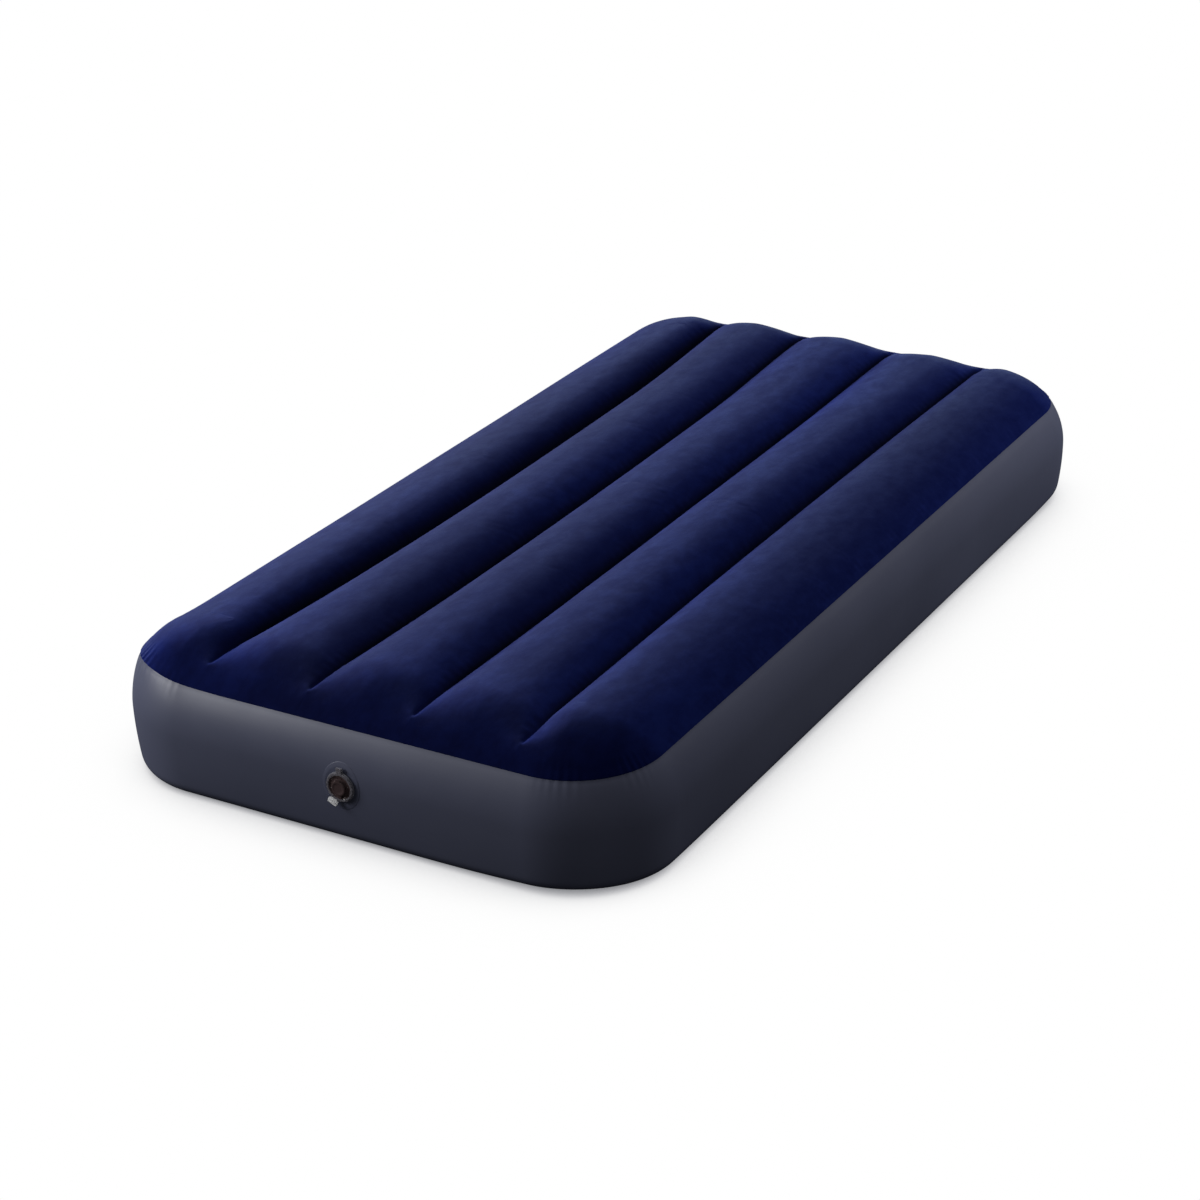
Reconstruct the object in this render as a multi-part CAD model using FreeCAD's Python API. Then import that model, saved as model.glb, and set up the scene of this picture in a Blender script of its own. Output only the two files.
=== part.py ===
"""Inflatable air bed, single size: a welded PVC envelope in three sheets, four internal
tension beams that pull the top into five long chambers, and a two-stage inflation valve
in the foot end.

Frame, millimetres: +Z up, origin on the floor under the middle of the bed, +X across
the bed, +Y towards the head end. The valve is in the foot end, which faces -Y.

The sheets are 1.5 mm thick here. The real film is about 0.4 mm.
"""

import FreeCAD, Part
import math
import os

Vector = FreeCAD.Vector
OUT = "parts"
os.makedirs("parts", exist_ok=True)

# ---- envelope -----------------------------------------------------------------------
WIDTH = 990.0            # across the bed at the widest point of the side wall
LENGTH = 1910.0          # foot to head at the widest point of the end walls
HEIGHT = 250.0           # floor to the crown of a chamber
CORNER_R = 175.0         # plan radius of the corners at the widest point
SKIN = 1.5               # sheet thickness
LAP_GAP = 0.3            # space between two lapped sheets, filled by the weld

SEAM_Z = 191.4           # lower edge of the top sheet: the visible welded seam
SEAM_INSET = 28.2        # seam line, measured in from the widest point
CROWN_INSET = 150.0      # where the roll-off to the seam begins
ENVELOPE_TOP = HEIGHT + 1.0   # flat of the roll-off body, just above the chamber crowns
LOWER_R = 28.0           # rounding where the wall turns under the bed
LOWER_TURN = 97.5        # heading of the wall where that rounding begins, degrees
BASE_SEAM_Z = 12.0       # upper edge of the bottom sheet around the rim
TOP_LAP = 11.5           # how far the wall reaches up inside the top sheet
BASE_LAP = 8.0           # how far it reaches down inside the bottom sheet
WALL_LOW = BASE_SEAM_Z + LAP_GAP
WALL_HIGH = SEAM_Z - LAP_GAP
WALL_STEP = 4.0          # height of the thick edge where the wall steps inwards to its lap
JOIN_W = 26.0            # lap strip where the two ends of the wall band meet
JOIN_T = 1.2
JOIN_CLEAR = 1.0         # from the strip's ends to the thick edges
FAR = WIDTH + LENGTH     # reach of cutting boxes, well beyond the bed

# ---- chambers -----------------------------------------------------------------------
# Lines along the bed are numbered in half pitches from the middle: odd ones are creases,
# even ones are crests.
PITCH = 193.0            # spacing of the creases, which is the width of a chamber
CREASE_LINES = (-3, -1, 1, 3)
CREASE_Z = 222.0         # height of the top sheet's creases at the ends
DRAW_IN = {0: 0.0, 1: 6.0, 2: 12.0, 3: 19.0}   # how far each line is drawn in at MID_Y
DRAW_DOWN = {1: 15.0, 3: 21.0}                 # how much lower each crease lies at MID_Y
MID_Y = -130.0           # where the creases are drawn in most
DRAW_FOOT = 720.0        # reach of the drawing in, from there towards the foot
DRAW_HEAD = 915.0        # and towards the head
STATIONS = (             # Y of the sections that the lofts run through
    -905.0, -850.0, -700.0, -500.0, -300.0, -130.0,
    100.0, 320.0, 540.0, 700.0, 785.0, 905.0,
)
BASE_LOBE_R = 80.0       # rounding of a chamber's underside beside a crease
BASE_LOBE_X = 44.0       # centre of that rounding, from the crease
BASE_LOBE_Z = 79.4

# ---- tension beams ------------------------------------------------------------------
BEAM_HALF_LENGTH = 880.0
WEB_T = 0.8
TAPE_W = 14.0
TAPE_T = 1.0
TAPE_END_R = 11.0        # round pads at the ends of each lower tape, which spread the pull
CUSP_GAP = 0.5           # between the upper tape and the sheet's crease above it
LOWER_TAPE_BOTTOM = 14.7
LOWER_TAPE_TOP = LOWER_TAPE_BOTTOM + TAPE_T

# ---- valve --------------------------------------------------------------------------
# "Out" is a distance outwards from the widest point of the foot wall. Heights in the
# valve are measured from its axis, except VALVE_Z.
VALVE_Z = 105.0          # height of the valve's axis
WALL_HOLE_R = 23.8
COLLAR_OUT_R = 23.4
COLLAR_IN_R = 20.0
COLLAR_LIP_R = 25.6
COLLAR_LIP_T = 1.8
COLLAR_FLANGE_R = 34.0
COLLAR_FLANGE_T = 1.3
COLLAR_FACE = 3.0        # out of the collar's outer face
COLLAR_DEPTH = 12.0      # how far the collar reaches in
COLLAR_LUG_W = 13.0

SEAT = COLLAR_FACE + 0.15     # out of the stopper flange's inner face
PLUG_R_MOUTH = 19.55
PLUG_R_END = 18.7
PLUG_DEPTH = 7.0
PLUG_WALL = 2.0
PLUG_BORE_R = PLUG_R_END - PLUG_WALL
PLUG_FLOOR = 1.6
STOP_FLANGE_R = 21.2
STOP_FLANGE_T = 1.8
STOP_TOP = SEAT + STOP_FLANGE_T
STOP_FLANGE_HOLE_R = PLUG_BORE_R - 4.5
PORT_DISC_R = PLUG_BORE_R - 3.5   # disc that overlaps the flange and closes it to the port
PORT_R = 8.0             # bore that takes a pump nozzle
PORT_WALL = 2.2
PORT_TOP = 7.2           # out of the port's outer end
PORT_END = -10.0         # out of the port's inner end

RING_IN_R = 21.4
RING_OUT_R = 24.4
RING_T = 2.4
RING_OVERHANG = 1.4      # how far the ring reaches in over the stopper's flange
TAB_W = 18.0             # width of the pull tab's grip
TAB_NECK_W = 11.0
TAB_IN = SEAT + 0.2      # out of the tab's inner face
TAB_OUT = SEAT + 2.0     # and of its outer face
TAB_REACH = 36.0         # end of the pull tab, from the valve's axis
TAB_BEND_R = 26.0        # where the tab turns outwards, from the valve's axis
TAB_TILT = 24.0          # how far the grip leans outwards, degrees
TAB_TURN = 22.0          # turn of the tab from straight down towards -X, degrees
TAB_ROUND_R = 3.0
STOP_HINGE_Z = 29.0      # hinge line of the stopper
STRAP_W = 9.0
RING_NECK_W = 10.0

CAP_R = 12.6
CAP_SKIRT_R = 10.45
CAP_TOP_T = 2.0
CAP_BASE = STOP_TOP + 0.25    # out of the skirt's inner end
CAP_UNDER = PORT_TOP + 0.15   # out of the cap top's inner face
CAP_TOP = CAP_UNDER + CAP_TOP_T
CAP_LIP_W = 8.0
CAP_ROUND_R = 0.7
CAP_HINGE_Z = -16.0      # hinge line of the small cap
CAP_STRAP_W = 7.0

FLAP_R = 9.9
FLAP_T = 0.6
FLAP_OUT = PORT_END - 0.1     # out of the flap's outer face
FLAP_IN = FLAP_OUT - FLAP_T   # and of its inner face
FLAP_W = 10.0            # width of the flap's hinge and root
FLAP_HINGE_Z = PORT_R + PORT_WALL + 0.6
FLAP_HINGE_GAP = 0.15    # from the hinge line to the flap, and to its root
FLAP_LUG_TOP = FLAP_HINGE_Z + 4.6
FLAP_LUG_W = 11.2
CLAMP_T = 1.4

# ---- edge section of the envelope: arcs that share tangents -------------------------
# Heading 0 is level and outwards, 90 is down.
roll_across = CROWN_INSET - SEAM_INSET
roll_drop = ENVELOPE_TOP - SEAM_Z
SEAM_TURN = 2 * math.degrees(math.atan2(roll_drop, roll_across))
ROLL_R = roll_across / math.sin(math.radians(SEAM_TURN))
WALL_R = SEAM_INSET / (1 - math.sin(math.radians(SEAM_TURN)))
WIDEST_Z = SEAM_Z - WALL_R * math.cos(math.radians(SEAM_TURN))
lower_cos = math.cos(math.radians(LOWER_TURN))
LOWER_WALL_R = (WIDEST_Z - LOWER_R * (1 + lower_cos)) / (-lower_cos)
EDGE_ARCS = (            # radius, heading at the start, heading at the end
    (ROLL_R, 0.0, SEAM_TURN),
    (WALL_R, SEAM_TURN, 90.0),
    (LOWER_WALL_R, 90.0, LOWER_TURN),
    (LOWER_R, LOWER_TURN, 180.0),
)


# ---- helpers ------------------------------------------------------------------------
def arc(centre_x, centre_z, radius, start, end):
    """Arc in the XZ plane, angles in degrees from +X."""
    points = []
    for degrees in (start, (start + end) / 2, end):
        angle = math.radians(degrees)
        x = centre_x + radius * math.cos(angle)
        points.append(Vector(x, 0, centre_z + radius * math.sin(angle)))
    return Part.Arc(*points).toShape()


def lines_through(points):
    return [Part.makeLine(start, end) for start, end in zip(points[:-1], points[1:])]


def box(x0, x1, y0, y1, z0, z1):
    return Part.makeBox(x1 - x0, y1 - y0, z1 - z0, Vector(x0, y0, z0))


def between(z0, z1):
    """Slab that covers the whole bed from z0 to z1."""
    return box(-FAR, FAR, -FAR, FAR, z0, z1)


def y_of(out):
    return -LENGTH / 2 - out


def valve_ring(outer_r, inner_r, out0, out1):
    """Ring about the valve's axis from out0 to out1, solid if inner_r is 0."""
    y0, y1 = y_of(out1), y_of(out0)
    axis = Vector(0, 1, 0)
    ring = Part.makeCylinder(outer_r, y1 - y0, Vector(0, y0, VALVE_Z), axis)
    if inner_r == 0:
        return ring
    bore = Part.makeCylinder(inner_r, y1 - y0 + 2, Vector(0, y0 - 1, VALVE_Z), axis)
    return ring.cut(bore)


def valve_box(width, out0, out1, low, high):
    """Box centred across the valve, low and high measured from the valve's axis."""
    return box(-width / 2, width / 2, y_of(out1), y_of(out0), VALVE_Z + low, VALVE_Z + high)


def save(name, shape):
    solids = shape.Solids
    assert solids, name
    for solid in solids:
        assert solid.isValid() and solid.isClosed() and solid.Volume > 0, name
    shape = solids[0] if len(solids) == 1 else Part.makeCompound(solids)
    shape.exportStep(os.path.join(OUT, name + ".step"))


# ---- rounded body of the envelope ---------------------------------------------------
def edge_section(inset):
    """Edges from crown to floor, and the X where they meet the floor.

    X is measured from the widest point, negative inwards.
    """
    edges = []
    x, z = -CROWN_INSET, ENVELOPE_TOP
    for radius, start, end in EDGE_ARCS:
        centre_x = x - radius * math.sin(math.radians(start))
        centre_z = z - radius * math.cos(math.radians(start))
        edges.append(arc(centre_x, centre_z, radius - inset, 90.0 - start, 90.0 - end))
        x = centre_x + radius * math.sin(math.radians(end))
        z = centre_z + radius * math.cos(math.radians(end))
    return edges, x


def pillow(inset):
    """Rounded body with a flat top and bottom, inset from the outer skin."""
    half_x, half_y = WIDTH / 2 - CORNER_R, LENGTH / 2 - CORNER_R   # axes of the corners
    outline, floor_x = edge_section(inset)
    for edge in outline:
        edge.translate(Vector(CORNER_R, 0, 0))   # X is now measured from the corner's axis
    top, low = ENVELOPE_TOP - inset, inset
    outline += lines_through([
        Vector(CORNER_R + floor_x, 0, low),
        Vector(0, 0, low),
        Vector(0, 0, top),
        Vector(CORNER_R - CROWN_INSET, 0, top),
    ])
    face = Part.Face(Part.Wire(Part.__sortEdges__(outline)))

    core = box(-half_x, half_x, -half_y, half_y, low, top)
    right = face.extrude(Vector(0, 2 * half_y, 0))
    right.translate(Vector(half_x, -half_y, 0))
    left = right.mirror(Vector(0, 0, 0), Vector(1, 0, 0))
    turned = face.copy()
    turned.rotate(Vector(0, 0, 0), Vector(0, 0, 1), 90)   # the section now points to +Y
    head = turned.extrude(Vector(2 * half_x, 0, 0))
    head.translate(Vector(-half_x, half_y, 0))
    foot = head.mirror(Vector(0, 0, 0), Vector(0, 1, 0))
    pieces = [right, left, head, foot]
    for side_x, side_y, start in ((1, 1, 0), (-1, 1, 90), (-1, -1, 180), (1, -1, 270)):
        section = face.copy()
        section.rotate(Vector(0, 0, 0), Vector(0, 0, 1), start)
        corner = section.revolve(Vector(0, 0, 0), Vector(0, 0, 1), 90)
        corner.translate(Vector(side_x * half_x, side_y * half_y, 0))
        pieces.append(corner)
    return core.multiFuse(pieces).removeSplitter().Solids[0]


# ---- lines of the chambers ----------------------------------------------------------
def draw(y):
    """Share of the drawing in at y, 1 at MID_Y and 0 near the ends."""
    reach = DRAW_FOOT if y < MID_Y else DRAW_HEAD
    share = abs(y - MID_Y) / reach
    return math.cos(math.pi / 2 * share) if share < 1 else 0.0


def line_x(n, y):
    side = 1 if n >= 0 else -1
    return side * (abs(n) * PITCH / 2 - DRAW_IN[abs(n)] * draw(y))


def crease_z(n, y):
    return CREASE_Z - DRAW_DOWN[abs(n)] * draw(y)


def stations_within(half_length):
    inside = [y for y in STATIONS if abs(y) < half_length]
    return [-half_length] + inside + [half_length]


def height_on(circle, x):
    """Height at x of the upper half of a circle: centre x, centre z, radius."""
    centre_x, centre_z, radius = circle
    return centre_z + math.sqrt(max(radius**2 - (x - centre_x) ** 2, 0))


def crossing_x(left, right, near):
    """X near a crease where the circles on its two sides meet, by bisection."""
    low, high = near - 3.0, near + 3.0
    for _ in range(60):
        middle = (low + high) / 2
        if height_on(left, middle) > height_on(right, middle):
            low = middle
        else:
            high = middle
    return low


def top_arcs(y, inset):
    """Arcs of the chambers' tops from -X to +X, as (circle, start x, end x)."""
    side_x = WIDTH / 2 - CROWN_INSET
    crest_x = {n: line_x(n, y) for n in (-2, 0, 2)}
    crest_x[-4], crest_x[4] = -side_x, side_x
    arcs = []
    for n in CREASE_LINES:
        x = line_x(n, y)
        drop = HEIGHT - crease_z(n, y)
        circles = []
        for crest in (crest_x[n - 1], crest_x[n + 1]):
            half = abs(crest - x)
            radius = (half * half + drop * drop) / (2 * drop)
            circles.append((crest, HEIGHT - radius, radius - inset))
        left, right = circles
        meet = crossing_x(left, right, x)
        arcs += [(left, left[0], meet), (right, meet, right[0])]
    return arcs


def inner_cusp(n, y):
    """Height of crease n on the inside of the top sheet."""
    circle, _, end = top_arcs(y, SKIN)[2 * CREASE_LINES.index(n)]
    return height_on(circle, end)


def lobed(inset):
    """Body under the chambers' tops, run past both ends of the bed."""
    side_x = WIDTH / 2 + 20
    low, top = -20, HEIGHT - inset
    end_run = 80
    wires = []
    for y in STATIONS:
        arcs = top_arcs(y, inset)
        first_x, last_x = arcs[0][1], arcs[-1][2]
        edges = lines_through(
            [Vector(-side_x, y, low), Vector(-side_x, y, top), Vector(first_x, y, top)]
        )
        for circle, start, end in arcs:
            points = [
                Vector(x, y, height_on(circle, x)) for x in (start, (start + end) / 2, end)
            ]
            edges.append(Part.Arc(*points).toShape())
        edges += lines_through([
            Vector(last_x, y, top),
            Vector(side_x, y, top),
            Vector(side_x, y, low),
            Vector(-side_x, y, low),
        ])
        wires.append(Part.Wire(edges))
    body = Part.makeLoft(wires, True, True)
    ends = [
        Part.Face(wire).extrude(Vector(0, way * end_run, 0))
        for wire, way in ((wires[0], -1), (wires[-1], 1))
    ]
    return body.multiFuse(ends)


def base_grooves(inset):
    """Bodies that draw the bottom sheet up along each beam."""
    radius = BASE_LOBE_R - inset
    rim = 6.0            # side of the groove, from the centre of the lobe's rounding
    middle = (BASE_LOBE_X + rim) / 2
    low = -6.0
    end_margin = 6       # how far a groove runs past the beam
    grooves = []
    for n in CREASE_LINES:
        wires = []
        for y in stations_within(BEAM_HALF_LENGTH + end_margin + inset):
            x = line_x(n, y)

            def on_lobe(side, offset):
                """Point at an offset from the lobe's centre towards the crease."""
                z = BASE_LOBE_Z - math.sqrt(radius * radius - offset * offset)
                return Vector(x + side * (BASE_LOBE_X - offset), y, z)

            cusp = on_lobe(1, BASE_LOBE_X)
            left, right = on_lobe(-1, rim), on_lobe(1, rim)
            edges = [
                Part.Arc(left, on_lobe(-1, middle), cusp).toShape(),
                Part.Arc(cusp, on_lobe(1, middle), right).toShape(),
            ]
            edges += lines_through(
                [right, Vector(right.x, y, low), Vector(left.x, y, low), left]
            )
            wires.append(Part.Wire(edges))
        grooves.append(Part.makeLoft(wires, True, True))
    return grooves


# ---- sheets -------------------------------------------------------------------------
outer, inner = pillow(0), pillow(SKIN)
lap_outer, lap_inner = pillow(SKIN + LAP_GAP), pillow(2 * SKIN + LAP_GAP)


def top_sheet():
    above = HEIGHT + 50
    outside = outer.common(lobed(0)).common(between(SEAM_Z, above))
    inside = inner.common(lobed(SKIN)).common(between(SEAM_Z - 5, above))
    return outside.cut(inside)


def bottom_sheet():
    outside = outer.common(between(-50, BASE_SEAM_Z))
    for groove in base_grooves(0):
        outside = outside.cut(groove)
    inside = inner.common(between(-50, BASE_SEAM_Z + 30))
    for groove in base_grooves(SKIN):
        inside = inside.cut(groove)
    sheet = outside.cut(inside)
    # the sheet over each groove stands above the seam, so it is added from the inner body
    for groove_outer, groove_inner in zip(base_grooves(0), base_grooves(SKIN)):
        ridge = groove_inner.cut(groove_outer).common(between(0, 40)).common(inner)
        sheet = sheet.fuse(ridge)
    return sheet.removeSplitter()


def side_wall():
    """Wall band, thickened at both edges where it steps inwards to its laps."""
    skin_band = outer.cut(inner).common(between(WALL_LOW, WALL_HIGH))
    thick = outer.cut(lap_inner)
    upper_step = thick.common(between(WALL_HIGH - WALL_STEP, WALL_HIGH))
    lap_skin = lap_outer.cut(lap_inner)
    upper_lap = lap_skin.common(between(WALL_HIGH - WALL_STEP, SEAM_Z + TOP_LAP))
    lower_step = thick.common(between(WALL_LOW, WALL_LOW + WALL_STEP))
    lower_lap = lap_skin.common(between(BASE_SEAM_Z - BASE_LAP, WALL_LOW + WALL_STEP))
    wall = skin_band.multiFuse([upper_step, upper_lap, lower_step, lower_lap])
    return wall.removeSplitter().cut(valve_ring(WALL_HOLE_R, 0, -30, 30))


def wall_join_strip():
    """Lap strip over the join of the band, inside the head end."""
    low = WALL_LOW + WALL_STEP + JOIN_CLEAR
    high = WALL_HIGH - WALL_STEP - JOIN_CLEAR
    layer = pillow(SKIN + LAP_GAP).cut(pillow(SKIN + LAP_GAP + JOIN_T))
    return layer.common(box(-JOIN_W / 2, JOIN_W / 2, 0, FAR, low, high))


# ---- beams --------------------------------------------------------------------------
def upper_tape_top(n, y):
    """Straight between stations, as the sheet's crease above it is."""
    for y0, y1 in zip(STATIONS[:-1], STATIONS[1:]):
        if y0 <= y <= y1:
            share = (y - y0) / (y1 - y0)
            cusp = inner_cusp(n, y0) * (1 - share) + inner_cusp(n, y1) * share
            return cusp - CUSP_GAP
    raise ValueError(y)


def strip_along(n, width, low_of, high_of):
    """Strip that follows crease n, its lower and upper heights given as functions of y."""
    wires = []
    for y in stations_within(BEAM_HALF_LENGTH):
        x, low, high = line_x(n, y), low_of(y), high_of(y)
        x0, x1 = x - width / 2, x + width / 2
        corners = ((x0, low), (x1, low), (x1, high), (x0, high), (x0, low))
        wires.append(Part.makePolygon([Vector(x, y, z) for x, z in corners]))
    return Part.makeLoft(wires, True, True)


def save_beam(number, n):
    def tape_top(y):
        return upper_tape_top(n, y)

    def web_top(y):
        return tape_top(y) - TAPE_T

    def web_bottom(y):
        return LOWER_TAPE_TOP

    def beam_bottom(y):
        return LOWER_TAPE_BOTTOM

    save(f"beam_{number}_upper_tape", strip_along(n, TAPE_W, web_top, tape_top))
    lower = strip_along(n, TAPE_W, beam_bottom, web_bottom)
    for y in (-BEAM_HALF_LENGTH, BEAM_HALF_LENGTH):
        centre = Vector(line_x(n, y), y, LOWER_TAPE_BOTTOM)
        lower = lower.fuse(Part.makeCylinder(TAPE_END_R, TAPE_T, centre, Vector(0, 0, 1)))
    save(f"beam_{number}_lower_tape", lower)
    save(f"beam_{number}_web", strip_along(n, WEB_T, web_bottom, web_top))


# ---- valve pieces -------------------------------------------------------------------
def valve_collar():
    """Weld flange that follows the wall, with a short tube through it."""
    lip_in = COLLAR_FACE - COLLAR_LIP_T
    flange = pillow(SKIN + LAP_GAP).cut(pillow(SKIN + LAP_GAP + COLLAR_FLANGE_T))
    flange = flange.common(valve_ring(COLLAR_FLANGE_R, COLLAR_IN_R, -20, 20))
    collar = flange.fuse(valve_ring(COLLAR_OUT_R, COLLAR_IN_R, -COLLAR_DEPTH, COLLAR_FACE))
    collar = collar.fuse(valve_ring(COLLAR_LIP_R, COLLAR_IN_R, lip_in, COLLAR_FACE))
    # lug on top of the collar, where the stopper's strap is moulded on
    lug = valve_box(
        COLLAR_LUG_W, lip_in, COLLAR_FACE, COLLAR_LIP_R - 1.5, STOP_HINGE_Z + 4.0
    )
    return collar.fuse(lug).removeSplitter()


def stopper():
    """Tapered plug with a flange, a floor and the nozzle port through it."""
    mouth = Vector(0, y_of(SEAT), VALVE_Z)
    plug = Part.makeCone(PLUG_R_MOUTH, PLUG_R_END, PLUG_DEPTH, mouth, Vector(0, 1, 0))
    plug = plug.cut(valve_ring(PLUG_BORE_R, 0, SEAT - PLUG_DEPTH + PLUG_FLOOR, SEAT))
    body = plug.fuse(valve_ring(STOP_FLANGE_R, STOP_FLANGE_HOLE_R, SEAT, STOP_TOP))
    body = body.fuse(valve_ring(PORT_R + PORT_WALL, PORT_R, PORT_END, PORT_TOP))
    body = body.fuse(valve_ring(PORT_DISC_R, PORT_R, SEAT, STOP_TOP))
    flap_lug = valve_box(FLAP_LUG_W, PORT_END, PORT_END + 2.2, PORT_R + 0.6, FLAP_LUG_TOP)
    body = body.fuse(flap_lug)
    body = body.cut(valve_ring(PORT_R, 0, PORT_END - 5, PORT_TOP + 5))
    return body.removeSplitter()


def pull_tab():
    """Finger tab at the foot of the stopper's ring, its grip leaning outwards."""
    tab = valve_box(TAB_NECK_W, TAB_IN, TAB_OUT, -TAB_BEND_R - 1.0, -RING_IN_R - 0.6)
    tab = tab.cut(valve_ring(RING_IN_R + 0.3, 0, SEAT - 3, SEAT + 6))
    grip = valve_box(TAB_W, TAB_IN, TAB_OUT, -TAB_REACH, -TAB_BEND_R - 1.5)
    along_y = [e for e in grip.Edges if abs(e.Vertexes[0].Y - e.Vertexes[-1].Y) > 1.0]
    grip = grip.makeFillet(TAB_ROUND_R, along_y)
    root = valve_box(TAB_NECK_W, TAB_IN, TAB_OUT, -TAB_BEND_R - 3.5, -TAB_BEND_R)
    grip = grip.fuse(root).removeSplitter()
    bend = Vector(0, y_of((TAB_IN + TAB_OUT) / 2), VALVE_Z - TAB_BEND_R)
    grip.rotate(bend, Vector(1, 0, 0), -TAB_TILT)
    tab = tab.fuse(grip)
    tab.rotate(Vector(0, 0, VALVE_Z), Vector(0, 1, 0), TAB_TURN)
    return tab


def stopper_ring():
    """Strap ring snapped round the stopper's flange, with its tab and strap neck."""
    ring_top = SEAT + RING_T
    ring = valve_ring(RING_OUT_R, RING_IN_R, SEAT, ring_top)
    ring = ring.fuse(valve_ring(RING_OUT_R, RING_IN_R - RING_OVERHANG, STOP_TOP, ring_top))
    tab = pull_tab()
    neck = valve_box(RING_NECK_W, SEAT, SEAT + 1.8, RING_OUT_R - 0.8, STOP_HINGE_Z - 1.6)
    return ring.fuse(tab).fuse(neck).removeSplitter()


def stopper_strap():
    """Living strap at the collar's lug, which bends when the stopper opens."""
    return valve_box(
        STRAP_W, COLLAR_FACE, SEAT + 1.5, STOP_HINGE_Z - 1.4, STOP_HINGE_Z + 3.6
    )


def valve_cap():
    """Small cap over the nozzle port, with a lip on its upper side."""
    cap = valve_ring(CAP_R, CAP_SKIRT_R, CAP_BASE, CAP_TOP)
    cap = cap.fuse(valve_ring(CAP_R, 0, CAP_UNDER, CAP_TOP))
    lip = valve_box(CAP_LIP_W, CAP_UNDER + 0.4, CAP_TOP, CAP_R - 1.5, CAP_R + 3.5)
    cap = cap.fuse(lip).removeSplitter()
    # the rim is broken by the lip: if it can't be rounded there, the cap stays sharp
    try:
        rim = [
            e
            for e in cap.Edges
            if hasattr(e.Curve, "Radius")
            and abs(e.Curve.Radius - CAP_R) < 1e-6
            and abs(e.Vertexes[0].Point.y - y_of(CAP_TOP)) < 1e-6
        ]
        cap = cap.makeFillet(CAP_ROUND_R, rim)
    except Exception:
        pass
    return cap


def cap_strap():
    """Living strap below the cap, on the stopper's face."""
    return valve_box(CAP_STRAP_W, STOP_TOP, CAP_BASE + 1.3, CAP_HINGE_Z - 3.0, -CAP_R - 0.2)


def one_way_flap():
    """Flap that closes the port's inner end and swings inwards as air comes in."""
    disc = valve_ring(FLAP_R, 0, FLAP_IN, FLAP_OUT)
    hinge = valve_box(FLAP_W, FLAP_IN, FLAP_OUT, 4.0, FLAP_HINGE_Z - FLAP_HINGE_GAP)
    return disc.fuse(hinge).removeSplitter()


def flap_root():
    """Root of the flap, clamped against the lug on the port's inner end."""
    return valve_box(FLAP_W, FLAP_IN, PORT_END, FLAP_HINGE_Z + FLAP_HINGE_GAP, FLAP_LUG_TOP)


def flap_clamp_bar():
    return valve_box(FLAP_LUG_W, FLAP_IN - CLAMP_T, FLAP_IN, FLAP_HINGE_Z + 0.9, FLAP_LUG_TOP)


# ---- build --------------------------------------------------------------------------
for build in (top_sheet, bottom_sheet, side_wall, wall_join_strip):
    save(build.__name__, build())

for number, n in enumerate(CREASE_LINES, 1):
    save_beam(number, n)

for build in (
    valve_collar,
    stopper,
    stopper_ring,
    stopper_strap,
    valve_cap,
    cap_strap,
    one_way_flap,
    flap_root,
    flap_clamp_bar,
):
    save(build.__name__, build())
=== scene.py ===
import math
from contextlib import contextmanager

import bmesh
import bpy
import numpy as np
from mathutils import Matrix, Vector


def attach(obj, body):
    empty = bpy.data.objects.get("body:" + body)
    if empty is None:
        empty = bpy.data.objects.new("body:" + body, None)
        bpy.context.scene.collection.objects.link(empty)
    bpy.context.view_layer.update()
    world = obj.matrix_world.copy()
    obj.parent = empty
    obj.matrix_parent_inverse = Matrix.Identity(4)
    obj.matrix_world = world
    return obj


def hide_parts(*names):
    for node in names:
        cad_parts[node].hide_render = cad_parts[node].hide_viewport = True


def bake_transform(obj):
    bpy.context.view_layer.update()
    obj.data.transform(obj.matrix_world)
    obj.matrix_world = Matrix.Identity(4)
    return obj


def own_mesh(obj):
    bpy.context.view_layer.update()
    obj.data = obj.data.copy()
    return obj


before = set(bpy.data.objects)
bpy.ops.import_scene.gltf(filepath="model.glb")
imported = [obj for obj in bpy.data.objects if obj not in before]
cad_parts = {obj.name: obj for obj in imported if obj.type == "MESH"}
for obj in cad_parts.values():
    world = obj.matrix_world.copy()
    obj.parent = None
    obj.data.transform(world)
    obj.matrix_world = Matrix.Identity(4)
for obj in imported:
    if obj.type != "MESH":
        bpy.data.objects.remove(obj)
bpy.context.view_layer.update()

MM = 0.001

# ---------------------------------------------------------------- envelope
WIDTH, LENGTH, HEIGHT = 990.0, 1910.0, 250.0
CORNER_R = 175.0                       # plan corners, at the widest outline
CORNER_X = WIDTH / 2 - CORNER_R        # centres of the corners
CORNER_Y = LENGTH / 2 - CORNER_R
SEAM_Z, SEAM_IN = 191.4, 28.2          # seam of top and wall; insets are from the widest outline
CROWN_IN = 150.0                       # inset where the roll-off reaches full height
CROWN_X = WIDTH / 2 - CROWN_IN
BASE_Z = 12.0                          # seam of wall and base
KNEE_R, KNEE_TURN = 28.0, math.radians(97.5)   # small arc down to the floor

PITCH = 193.0                          # from crease to crease
HALF_PITCH = PITCH / 2
OUTER_CREASE = 1.5 * PITCH
CREASES = [(i - 1.5) * PITCH for i in range(4)]
CREASE_Z = 222.0
PINCH, GROOVE = 3.0, 1.0               # wide and narrow dents along a crease's weld
VALVE_Z = 105.0

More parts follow.
